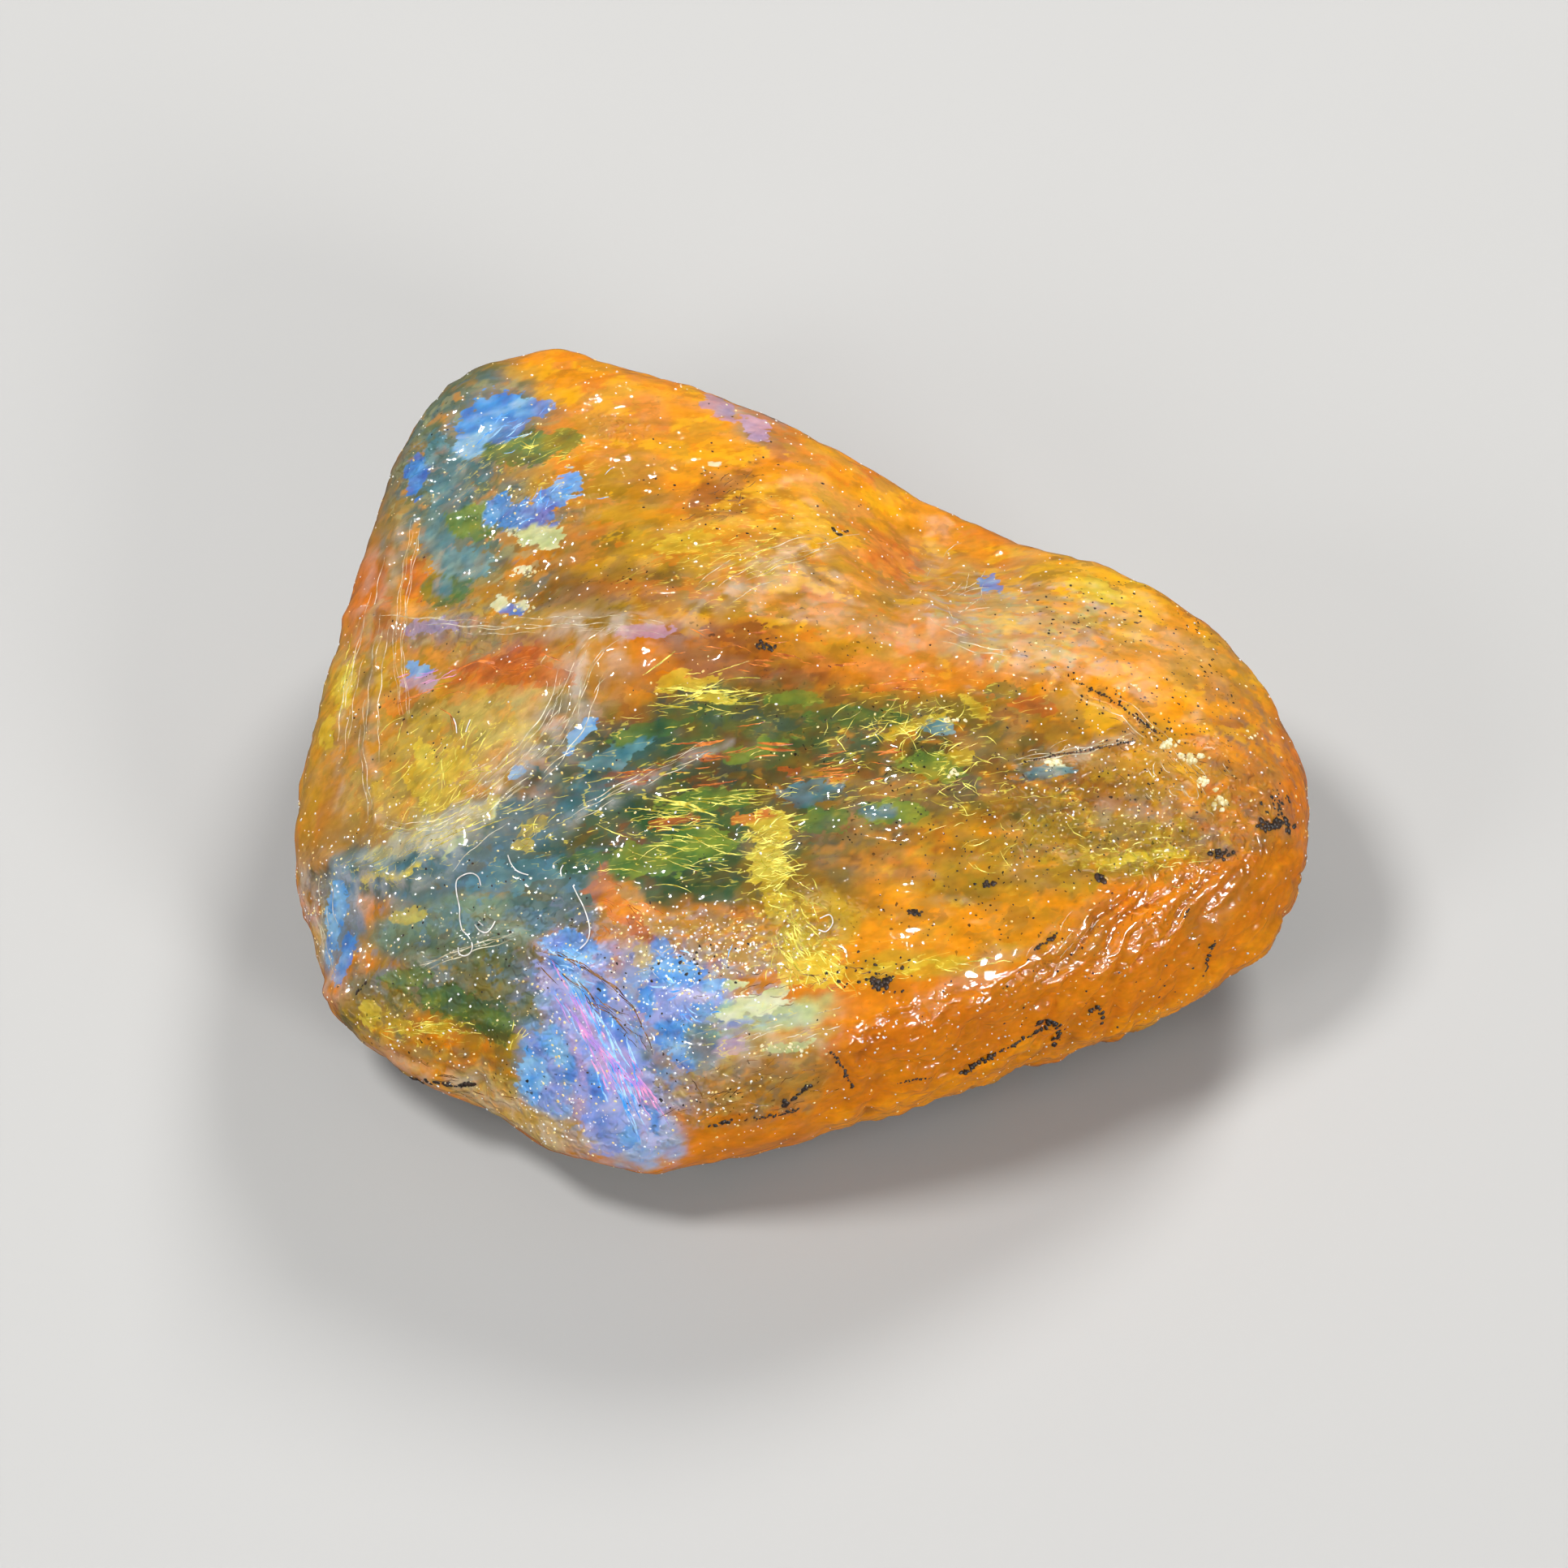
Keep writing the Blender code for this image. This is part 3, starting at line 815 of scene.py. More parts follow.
# %% Where the finish changes
BRUSHED = (
    (850, 1040, 110, 50, 5), (840, 890, 120, 40, 10), (948, 1070, 50, 90, 6),
    (1000, 1180, 80, 40, -10),
    (1110, 880, 120, 50, 5), (1170, 950, 90, 40, 0), (560, 960, 120, 70, 25),
    (500, 1060, 110, 26, 12),
    (700, 960, 70, 50, 30), (1400, 1040, 90, 40, 0), (1240, 860, 60, 30, 0),
    (530, 1270, 80, 30, 0),
    (660, 1040, 70, 40, 20), (1060, 960, 90, 40, 10), (930, 1270, 90, 34, 10),
    (650, 570, 90, 40, 0),
    (900, 680, 120, 60, 20), (760, 980, 120, 60, 10), (1250, 980, 110, 30, 0),
    (1130, 1190, 80, 20, 5),
)
PIMPLED = (
    (640, 620, 70, 30, 0), (757, 526, 34, 20, 0), (880, 1165, 130, 36, 5), (835, 1225, 60, 60, 0),
    (380, 1130, 30, 90, -10), (770, 1405, 70, 26, 0), (640, 1370, 110, 40, -25),
    (460, 1230, 50, 40, 0),
    (690, 1290, 40, 80, 10), (510, 560, 30, 60, 0), (560, 770, 60, 30, 0), (980, 1120, 80, 26, 0),
    (1420, 1000, 160, 80, 0), (620, 1180, 160, 70, 0), (850, 1350, 90, 40, 0),
)


def zoned(patches):
    """1 inside any of the patches and 0 outside, with soft rough edges."""
    depth = [1.4 - in_patch(rough_edge_x, rough_edge_y, patch) for patch in patches]
    return step(np.maximum.reduce(depth), 0.0, 0.8)


SPECKED = (
    (1400, 900, 200, 160, -30), (1250, 1060, 260, 110, 5), (960, 800, 130, 50, -6),
    (740, 725, 90, 34, 5),
    (1060, 920, 160, 80, 0), (560, 1300, 140, 50, -12), (780, 1230, 90, 60, -40),
    (900, 1340, 120, 50, 8),
    (890, 600, 60, 40, 25), (520, 540, 60, 50, 0), (1450, 770, 120, 50, -40),
)
specked = 0.1 + 0.9 * zoned(SPECKED) * step(wander(points, 1.6, 44), -0.3, 0.3)
brushed = zoned(BRUSHED) * top_only
pimpled = zoned(PIMPLED) * seen
# painted shade: patches of darkness in the creases of the folds
crease_shade = in_crease * step(wander(points, 0.9, 43), 0.0, 0.4)
print(f"{pimpled.mean() * 100:.0f} % of the skin is pimpled, {brushed.mean() * 100:.0f} % brushed")


worn_now = step(photo_x, *WORN_END)


def give_values(mesh, name, values):
    layer = mesh.attributes.new(name, "FLOAT", "POINT")
    layer.data.foreach_set("value", np.asarray(values, np.float32))


def give_colours(mesh, name, colours, cover):
    layer = mesh.attributes.new(name, "FLOAT_COLOR", "POINT")
    four = np.concatenate((colours, cover[:, None]), axis=1)
    layer.data.foreach_set("color", four.astype(np.float32).ravel())


give_colours(skin, "body", body, np.ones(len(points)))
give_colours(skin, "flash", flash_colour, flash_cover)
give_colours(skin, "fleck", fleck_colour, fleck_cover)
SKIN_VALUES = {
    "fleck_depth": fleck_depth,
    "flash_depth": flash_depth,
    "brushed": brushed,
    "pimpled": pimpled,
    "crease_shade": crease_shade,
    "specked": specked,
    "folded": front_side * (1 - 0.5 * worn_now) + 0.8 * hidden_side,
}
for name, values in SKIN_VALUES.items():
    give_values(skin, name, values)

# %% [markdown]
# The finished skin now becomes an object and takes the solid's place.

# %% Put the skin in place of the solid
skin.transform(Matrix.Scale(MM, 4))
skin.materials.clear()
for polygon in skin.polygons:
    polygon.use_smooth = True
stone = add_object("opal", skin)
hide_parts("stone")
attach(stone, "root")
faces = [tuple(face.vertices) for face in skin.polygons]
surface = BVHTree.FromPolygons([Vector(point) for point in points], faces)
print(f"the skin carries {len(skin.attributes)} layers of values")

# %% [markdown]
# The material is one Principled shader, because that is what travels best to other programs. A
# part of the light goes straight in and is dyed by absorption, the rest scatters under the
# skin, and a smooth coat on top gives the wet gloss. The colour is built up in the order in
# which the eye peels it: body, flashes, hair strokes, then dark specks and painted crease shade.


# %% Node tools
class Recipe:
    """Adds nodes to a material one after another and wires them as they come."""

    def __init__(self, name):
        self.material = bpy.data.materials.new(name)
        self.material.use_nodes = True
        self.tree = self.material.node_tree
        self.shader = self.tree.nodes["Principled BSDF"]
        self.shader.subsurface_method = "BURLEY"
        self.output = self.tree.nodes["Material Output"]
        self.place = self.add("ShaderNodeTexCoord").outputs["Object"]

    def add(self, kind, inputs=None, **settings):
        made = self.tree.nodes.new(kind)
        for key, value in settings.items():
            setattr(made, key, value)
        for key, value in (inputs or {}).items():
            self.put(made.inputs[key], value)
        return made

    def put(self, socket, value):
        if isinstance(value, bpy.types.NodeSocket):
            self.tree.links.new(value, socket)
        elif isinstance(value, tuple) and len(value) == 3 and socket.type == "RGBA":
            socket.default_value = (*value, 1.0)
        else:
            socket.default_value = value

    def value(self, name):
        return self.add("ShaderNodeAttribute", attribute_name=name).outputs["Fac"]

    def maths(self, operation, first, second=0.0):
        return self.add("ShaderNodeMath", {0: first, 1: second}, operation=operation).outputs[0]

    def times(self, first, second):
        return self.maths("MULTIPLY", first, second)

    def plus(self, first, second):
        return self.maths("ADD", first, second)

    def off_middle(self, value):
        """How far a value from 0 to 1 lies above the middle."""
        return self.maths("SUBTRACT", value, 0.5)

    def grain(self, size_mm, stretch=(1, 1, 1), turn=(0, 0, 0), detail=2.0):
        """Noise from 0 to 1 with features about this many mm wide."""
        spread = tuple(1.0 / (size_mm * MM * s) for s in stretch)
        turned = self.add("ShaderNodeMapping", {"Vector": self.place, "Rotation": turn})
        factors = {0: turned.outputs[0], 1: spread}
        scaled = self.add("ShaderNodeVectorMath", factors, operation="MULTIPLY")
        settings = {"Vector": scaled.outputs[0], "Scale": 1.0, "Detail": detail}
        return self.add("ShaderNodeTexNoise", settings).outputs["Fac"]

    def between(self, value, low, high):
        """0 below low, 1 above high, and a smooth step between."""
        inputs = {"Value": value, "From Min": low, "From Max": high}
        return self.add("ShaderNodeMapRange", inputs, interpolation_type="SMOOTHSTEP").outputs[0]

    def spread(self, value, low, high):
        """Stretch a value from 0..1 to low..high."""
        inputs = {"Value": value, "To Min": low, "To Max": high}
        return self.add("ShaderNodeMapRange", inputs).outputs[0]

    def mix(self, amount, under, over, blend="MIX"):
        inputs = {0: amount, 6: under, 7: over}
        return self.add("ShaderNodeMix", inputs, data_type="RGBA", blend_type=blend).outputs[2]


def on_line(recipe, noise_value, width):
    """1 along the thin wandering lines where a noise passes its middle value."""
    off = recipe.maths("ABSOLUTE", recipe.off_middle(noise_value))
    return recipe.between(off, width, width * 0.3)


# %% Opal: body, flecks and flashes
FLOW_TURN = (0.0, 0.0, math.radians(-20))
HAIR_TURN = (0.0, 0.0, math.radians(-14))
TORN_SIZE = 0.24  # mm
TEAR = 1.6  # how deep the fine noise bites into an edge
TORN_EDGE = (0.42, 0.58)
opal = Recipe("opal")
torn = opal.grain(TORN_SIZE, stretch=(1.6, 1, 1), turn=FLOW_TURN, detail=2.0)
colour = opal.add("ShaderNodeAttribute", attribute_name="body").outputs["Color"]
rag = opal.times(opal.off_middle(torn), TEAR)
for layer in ("fleck", "flash"):
    layer_node = opal.add("ShaderNodeAttribute", attribute_name=layer)
    depth = opal.plus(opal.value(layer + "_depth"), rag)
    cover = opal.times(opal.between(depth, *TORN_EDGE), layer_node.outputs["Alpha"])
    colour = opal.mix(cover, colour, layer_node.outputs["Color"])
print(f"body and patches take {len(opal.tree.nodes)} nodes")

# %% Opal: hair strokes, specks and painted crease shade
STROKE_GOLD = seen_colour(250, 232, 90)
STROKE_WIDTH, STROKE_STRENGTH = 0.02, 0.6
TONE_RANGE = (0.72, 1.24)
SPECK_AND_CREASE_SHADE = seen_colour(30, 20, 14)
SPECK_SIZE = 0.15  # mm
SPECK_CUT = (0.76, 0.79)  # only the highest peaks of the noise become specks
CREASE_SHADE_STRENGTH = 0.5
hair = opal.grain(0.36, stretch=(5, 1, 1), turn=HAIR_TURN, detail=2.0)
hairs = opal.times(on_line(opal, hair, STROKE_WIDTH), opal.value("brushed"))
hairs = opal.times(hairs, opal.between(torn, 0.46, 0.56))
colour = opal.mix(opal.times(hairs, STROKE_STRENGTH), colour, STROKE_GOLD)
tone = opal.add("ShaderNodeCombineColor", {i: opal.spread(torn, *TONE_RANGE) for i in range(3)})
colour = opal.mix(1.0, colour, tone.outputs[0], "MULTIPLY")
specks = opal.between(opal.grain(SPECK_SIZE, detail=0.0), *SPECK_CUT)
specks = opal.times(specks, opal.value("specked"))
# painted shade: the creases are darkened with the speck colour
crease_darkening = opal.times(opal.value("crease_shade"), CREASE_SHADE_STRENGTH)
colour = opal.mix(opal.maths("MAXIMUM", specks, crease_darkening), colour, SPECK_AND_CREASE_SHADE)
opal.put(opal.shader.inputs["Base Color"], colour)
print(f"the colour takes {len(opal.tree.nodes)} nodes")

# %% [markdown]
# Real opal is clear and milky at once, so a quarter of the light goes straight in and honey
# yellow absorption dyes it, and the rest is scattered just under the skin, red furthest. The
# gloss is a clear coat as smooth as wet stone. Its sparkle comes from a bump of small pimples
# in the places where the photograph sparkles, and from fine wrinkles on the folded sides.

# %% Opal: gloss, pimples and light inside
INDEX = 1.45  # opal bends light a little less than quartz
INWARD_LIGHT = 0.24
ABSORPTION_COLOUR = (*seen_colour(254, 186, 50), 1.0)
ABSORPTION_DENSITY = 900.0  # per metre
PIMPLE_SIZE = 0.24  # mm
PIMPLE_HEIGHT, GRAIN_HEIGHT, WRINKLE_HEIGHT = 1.5, 0.6, 0.5  # shares of the bump
BUMP_DEPTH = 0.06  # mm
ROUGHNESS_RANGE = (0.28, 0.4)
FINISH = {
    "IOR": INDEX,
    "Specular IOR Level": 0.0,
    "Transmission Weight": INWARD_LIGHT,
    "Subsurface Weight": 1.0,
    "Subsurface Radius": (1.0, 0.45, 0.15),
    "Subsurface Scale": 0.2 * MM,
    "Coat Weight": 0.8,
    "Coat Roughness": 0.05,
    "Coat IOR": INDEX,
}
for name, setting in FINISH.items():
    opal.put(opal.shader.inputs[name], setting)
opal.put(opal.shader.inputs["Roughness"], opal.spread(torn, *ROUGHNESS_RANGE))
inside = {"Color": ABSORPTION_COLOUR, "Density": ABSORPTION_DENSITY}
absorb = opal.add("ShaderNodeVolumeAbsorption", inside)
opal.tree.links.new(absorb.outputs[0], opal.output.inputs["Volume"])
bead = opal.between(opal.grain(PIMPLE_SIZE, detail=0.0), 0.45, 0.75)
bead = opal.times(bead, opal.times(opal.value("pimpled"), PIMPLE_HEIGHT))
fine = opal.grain(0.5, stretch=(1.5, 1, 1), turn=FLOW_TURN, detail=1.0)
wrinkle = opal.between(opal.maths("ABSOLUTE", opal.off_middle(fine)), 0.0, 0.16)
wrinkle = opal.times(wrinkle, opal.times(opal.value("folded"), WRINKLE_HEIGHT))
height = opal.plus(opal.plus(bead, opal.times(fine, GRAIN_HEIGHT)), wrinkle)
relief_settings = {"Height": height, "Strength": 0.8, "Distance": BUMP_DEPTH * MM}
bump = opal.add("ShaderNodeBump", relief_settings)
opal.put(opal.shader.inputs["Normal"], bump.outputs[0])
opal.put(opal.shader.inputs["Coat Normal"], bump.outputs[0])
stone.data.materials.append(opal.material)
print(f"gloss and bump bring it to {len(opal.tree.nodes)} nodes")

# %% [markdown]
# The small things on the skin are real little solids, because they stand up from it and catch
# the light: black and brown crust left from the host rock, pale crumbs in the crease, and dust,
# heaped in places into white and gold dots of painted sparkle. All are the same kind of lump, a
# rough ball pressed flat against the skin. Only size, place and colour differ, so one maker
# serves them all.


# %% Tools for small pieces
def on_skin(x, y):
    """The point of the skin that shows at a pixel, in mm, and the skin's direction there."""
    start, along = photo_ray(x, y)
    place, direction, _, _ = surface.ray_cast(start, along)
    return place, direction


BALL = bmesh.new()
bmesh.ops.create_icosphere(BALL, subdivisions=1, radius=1.0)
BALL_POINTS = [v.co.copy() for v in BALL.verts]
BALL_FACES = [tuple(v.index for v in f.verts) for f in BALL.faces]
BALL.free()


FLATNESS = 0.5  # height of a lump of crust, as a part of its width


class Heap:
    """Gathers many small shapes into one piece."""

    def __init__(self):
        self.points = []
        self.faces = []

    def lump(self, place, direction, size, flat, rng, rough=0.25):
        """A rough ball, pressed flat against the skin."""
        turn = direction.to_track_quat("Z", "Y").to_matrix()
        spin = Matrix.Rotation(rng.uniform(0, math.tau), 3, "Z")
        long = size * rng.uniform(1.0, 1.5)
        base = len(self.points)
        for corner in BALL_POINTS:
            bent = corner * (1.0 + rng.uniform(-rough, rough))
            shaped = Vector((bent.x * long, bent.y * size, bent.z * size * flat))
            self.points.append((place + turn @ (spin @ shaped)) * MM)
        self.faces += [tuple(base + i for i in face) for face in BALL_FACES]

    def ribbon(self, path, width):
        """A strip along (place, direction) pairs, pointed at both ends and arched across."""
        base = len(self.points)
        last = len(path) - 1
        for i, (place, direction) in enumerate(path):
            ahead = (path[min(i + 1, last)][0] - path[max(i - 1, 0)][0]).normalized()
            aside = ahead.cross(direction).normalized()
            half = 0.5 * width * math.sin(math.pi * (i + 0.15) / (last + 0.3)) ** 0.7
            self.points.append((place + aside * half + direction * RIBBON_SUNK) * MM)
            self.points.append((place + direction * (RIBBON_LIFT + 0.25 * half)) * MM)
            self.points.append((place - aside * half + direction * RIBBON_SUNK) * MM)
        for i in range(last):
            a, b = base + 3 * i, base + 3 * i + 3
            self.faces += [(a, b, b + 1, a + 1), (a + 1, b + 1, b + 2, a + 2)]

    def piece(self, name, material):
        mesh = bpy.data.meshes.new(name)
        mesh.from_pydata(self.points, [], self.faces)
        for polygon in mesh.polygons:
            polygon.use_smooth = True
        mesh.materials.append(material)
        made = add_object(name, mesh)
        made.visible_shadow = name == "crust"  # a speck of dust is too small to darken the skin
        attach(made, "root")
        print(f"{name}: {len(mesh.polygons)} faces")
        return made


def speckled(name, dark, light, roughness, size_mm):
    """A simple grainy finish between two colours, given as seen."""
    finish = Recipe(name)
    amount = finish.between(finish.grain(size_mm, detail=2.0), 0.35, 0.65)
    tone = finish.mix(amount, seen_colour(*dark), seen_colour(*light))
    finish.put(finish.shader.inputs["Base Color"], tone)
    finish.put(finish.shader.inputs["Roughness"], roughness)
    return finish.material


def scatter(heap, rng, clusters, rough):
    """Drop lumps round the middle pixel of each cluster, thickest in the middle."""
    for x, y, across, down, count, size in clusters:
        for _ in range(count):
            pixel = x + rng.gauss(0, 0.5 * across), y + rng.gauss(0, 0.5 * down)
            place, direction = on_skin(*pixel)
            if place:
                lump_size = PIXEL * size * rng.uniform(0.4, 1.1)
                heap.lump(place, direction, lump_size, FLATNESS, rng, rough)


# %% [markdown]
# The brightest marks are hair-thin: gold strokes like brushwork in the green basin, milky
# threads along the crests, and pink, blue and brown ones on the facet at the front. They are
# edges of films that reach the skin. Noise in a material can't draw a single long stroke where
# one was seen, so each is a narrow strip laid on the skin. A few rules say how many there are
# in an oval, which way they run and how they bend, and the rest is drawn by lot.

# %% Threads
RIBBON_LIFT = 0.012  # mm from the skin to a thread's middle line
RIBBON_SUNK = -0.004  # and to its edges
THREAD_STEP = 5.0  # pixels
LONGEST_LINK = 0.35 + THREAD_STEP * PIXEL  # mm between neighbours, or the thread is cut
THREAD_PATCHES = {
    # oval; how many; shortest and longest, and thickest, in pixels; direction, its spread, bend
    "gold": (
        ((835, 1035, 95, 50, 3), 58, 14, 60, 1.7, -4, 16, 50),
        ((850, 985, 90, 18, 6), 25, 20, 70, 1.9, 2, 10, 40),
        ((855, 858, 75, 26, 4), 37, 14, 60, 1.9, 2, 22, 50),
        ((946, 1050, 30, 60, 6), 105, 10, 32, 2.2, 8, 35, 80),
        ((975, 1150, 28, 50, -10), 56, 10, 34, 2.1, -55, 30, 70),
        ((1012, 1190, 34, 34, 0), 37, 10, 30, 2.0, -40, 50, 90),
        ((1120, 905, 95, 50, 0), 68, 12, 46, 1.7, 20, 70, 120),
        ((1175, 960, 60, 36, 0), 25, 12, 36, 1.6, 0, 60, 120),
        ((1400, 1050, 90, 26, 5), 29, 10, 36, 1.6, 5, 30, 90),
        ((1250, 1040, 120, 50, 5), 25, 10, 34, 1.4, 0, 50, 90),
        ((545, 955, 70, 60, 20), 43, 12, 44, 1.7, 50, 35, 60),
        ((540, 1030, 90, 22, 20), 31, 20, 60, 1.6, 22, 12, 40),
        ((650, 552, 44, 20, 8), 7, 12, 30, 1.6, 30, 25, 60),
        ((520, 1268, 60, 14, 4), 22, 12, 40, 2.0, 4, 15, 50),
        ((634, 1284, 12, 16, -30), 6, 8, 20, 1.9, 60, 20, 40),
        ((655, 1030, 34, 20, 20), 16, 10, 34, 1.7, 35, 40, 90),
        ((424, 850, 10, 36, -14), 9, 14, 36, 2.1, 74, 10, 20),
        ((1150, 1190, 70, 12, 6), 16, 12, 36, 1.7, 8, 25, 60),
        ((900, 690, 110, 40, 20), 25, 16, 50, 1.4, 20, 16, 40),
        ((1000, 960, 110, 40, 4), 25, 12, 40, 1.5, 4, 25, 60),
    ),
    "milk": (
        ((930, 1275, 90, 26, 14), 20, 16, 46, 1.7, 16, 16, 40),
        ((700, 850, 40, 60, 0), 12, 14, 40, 1.4, 60, 40, 80),
        ((1170, 740, 50, 50, 0), 13, 16, 46, 1.4, 50, 40, 90),
        ((1460, 960, 50, 60, 0), 15, 8, 26, 1.6, -50, 40, 90),
        ((600, 980, 80, 30, 35), 15, 20, 60, 1.4, 35, 12, 40),
        ((1290, 935, 60, 14, 5), 5, 10, 30, 1.4, 5, 20, 60),
        ((1310, 1160, 30, 50, -40), 8, 14, 40, 1.4, 48, 14, 40),
        ((820, 1180, 60, 30, 0), 10, 8, 24, 1.6, 0, 90, 90),
    ),
    "ember": (
        ((620, 822, 60, 22, 8), 21, 14, 44, 2.1, 8, 20, 60),
        ((776, 957, 50, 12, 6), 11, 12, 34, 2.1, 6, 10, 30),
        ((885, 935, 55, 12, 10), 13, 12, 34, 2.1, 10, 10, 30),
        ((1000, 955, 55, 14, 8), 11, 10, 30, 2.1, 8, 14, 40),
        ((1100, 846, 60, 12, 4), 11, 12, 36, 2.0, 4, 12, 40),
        ((760, 1110, 36, 34, -40), 21, 8, 26, 2.2, -40, 40, 60),
        ((900, 800, 90, 24, -6), 14, 10, 34, 1.8, -6, 20, 50),
        ((870, 940, 100, 50, 6), 9, 20, 60, 5.0, 6, 10, 20),
        ((1010, 930, 90, 50, 4), 8, 16, 50, 4.0, 4, 14, 20),
        ((950, 800, 90, 26, -6), 8, 16, 40, 5.0, -6, 14, 20),
    ),
    "violet": (
        ((722, 1265, 14, 70, 24), 23, 20, 60, 3.1, -64, 8, 24),
        ((787, 1338, 14, 50, 30), 16, 18, 50, 3.1, -60, 8, 24),
        ((520, 840, 30, 14, 10), 7, 10, 26, 2.7, 20, 10, 40),
    ),
    "azure": (
        ((755, 1290, 26, 90, 22), 31, 18, 60, 2.9, -66, 10, 24),
        ((700, 1180, 30, 20, -20), 13, 10, 30, 2.9, -40, 30, 50),
        ((620, 530, 50, 26, 30), 18, 10, 30, 2.7, 30, 20, 40),
        ((840, 1225, 50, 40, 0), 20, 8, 24, 2.6, -20, 60, 80),
        ((667, 618, 46, 18, 20), 13, 10, 28, 2.7, 30, 30, 50),
    ),
    "brown": (
        ((735, 1232, 90, 12, -42), 27, 14, 46, 2.1, -42, 14, 40),
        ((1000, 1210, 130, 20, 8), 24, 10, 34, 1.7, 8, 20, 60),
        ((1440, 920, 90, 60, -30), 24, 10, 34, 1.5, -30, 30, 80),
        ((530, 1325, 80, 16, -12), 16, 10, 30, 2.0, -12, 14, 40),
        ((920, 1340, 90, 30, 8), 24, 10, 36, 1.8, 14, 20, 60),
        ((890, 618, 50, 24, 25), 14, 8, 26, 2.1, 30, 30, 60),
    ),
}
THREAD_LINES = {
    # line of pixels, how many, furthest aside, thickest
    "gold": (
        (((803, 846), (840, 848), (880, 852), (912, 850)), 3, 2, 2.9),
        (((795, 981), (840, 990), (883, 1006)), 4, 4, 2.9),
        (((790, 830), (812, 818), (830, 800)), 3, 3, 2.6),
        (((640, 545), (652, 551), (664, 548)), 3, 3, 2.7),
    ),
    "milk": (
        (((780, 772), (735, 795), (715, 830), (700, 880), (672, 920),
        (645, 950), (600, 990), (560, 1020), (505, 1080)), 19, 27, 1.7),
        (((440, 762), (520, 768), (600, 772), (677, 770), (760, 768), (837, 779)), 11, 17, 1.5),
        (((837, 779), (870, 740), (905, 711), (950, 690), (1000, 674), (1060, 660)), 9, 31, 1.5),
        (((497, 652), (480, 720), (462, 800), (454, 870), (454, 926), (466, 1012)), 6, 15, 1.4),
        (((515, 640), (500, 720), (490, 800), (500, 880)), 4, 17, 1.2),
        (((470, 660), (448, 760), (425, 850), (415, 930), (420, 1000)), 7, 12, 1.6),
        (((466, 1012), (500, 1022), (540, 1016), (580, 990)), 4, 8, 1.5),
        (((700, 1012), (740, 990), (790, 962), (835, 940), (905, 905)), 9, 10, 1.7),
        (((1150, 690), (1130, 720), (1122, 745), (1160, 780),
        (1210, 796), (1260, 800)), 7, 20, 1.5),
        (((1330, 842), (1390, 872), (1440, 918), (1480, 958), (1502, 1005)), 6, 14, 1.5),
        (((512, 1192), (545, 1180), (580, 1166), (635, 1150)), 5, 10, 1.5),
        (((392, 1080), (396, 1130), (410, 1180), (424, 1220)), 6, 14, 1.7),
        (((1240, 942), (1290, 934), (1340, 926), (1400, 906)), 3, 7, 1.5),
    ),
    "ember": (
        (((487, 868), (505, 858), (530, 850), (560, 842)), 8, 5, 2.9),
        (((560, 826), (575, 818), (592, 814), (610, 816)), 5, 3, 2.7),
        (((540, 868), (556, 880), (562, 900)), 3, 3, 2.1),
    ),
    "violet": ((((689, 1220), (715, 1262), (745, 1300), (761, 1321), (803, 1354)), 14, 8, 2.9),),
    "azure": ((((672, 1160), (700, 1200), (740, 1270), (775, 1340), (800, 1400)), 12, 19, 2.8),),
    "brown": (
        (((664, 1169), (692, 1178), (719, 1190), (761, 1220),
        (780, 1240), (794, 1262), (807, 1300)), 11, 5, 2.4),
        (((1260, 942), (1300, 932), (1340, 926), (1400, 914)), 4, 3, 1.8),
    ),
}
THREAD_TONES = {
    "gold": ((166, 150, 34), (255, 244, 120)),
    "milk": ((176, 158, 116), (232, 226, 200)),
    "ember": ((150, 76, 30), (232, 138, 56)),
    "violet": ((170, 130, 214), (240, 160, 206)),
    "azure": ((60, 150, 230), (176, 218, 250)),
    "brown": ((70, 44, 24), (150, 106, 60)),
}
thread_rng = random.Random(21)


def lay_thread(heap, pixels, width):
    """Lay a thread over these pixels, and cut it wherever the skin drops out of sight."""
    path = []
    for x, y in pixels:
        place, direction = on_skin(x, y)
        if place and (not path or (place - path[-1][0]).length < LONGEST_LINK):
            path.append((place, direction))
        elif len(path) > 2:
            break
    if len(path) > 2:
        heap.ribbon(path, width)


def curved(x, y, length, heading, bend):
    """Pixels along an arc whose heading also wavers a little."""
    pixels = [(x, y)]
    steps = max(3, int(length / THREAD_STEP))
    waver = thread_rng.uniform(-14, 14)
    for i in range(steps):
        turned = math.radians(heading + bend * (i / steps - 0.5) + waver * math.sin(2.4 * i))
        x, y = x + THREAD_STEP * math.cos(turned), y - THREAD_STEP * math.sin(turned)
        pixels.append((x, y))
    return pixels


def along(line, first, last, aside):
    """Pixels along part of a line, from the fraction first to last, pushed aside."""
    lengths = [math.dist(a, b) for a, b in zip(line, line[1:])]
    total = sum(lengths)
    pixels = []
    steps = max(4, int((last - first) * total / THREAD_STEP))
    for i in range(steps + 1):
        here = total * (first + (last - first) * i / steps)
        for (ax, ay), (bx, by), length in zip(line, line[1:], lengths):
            if here <= length or (bx, by) == line[-1]:
                break
            here -= length
        t = min(here / length, 1.0)
        dx, dy = bx - ax, by - ay
        push = aside + 1.2 * math.sin(0.7 * i + aside)
        pixels.append((ax + dx * t - dy / length * push, ay + dy * t + dx / length * push))
    return pixels


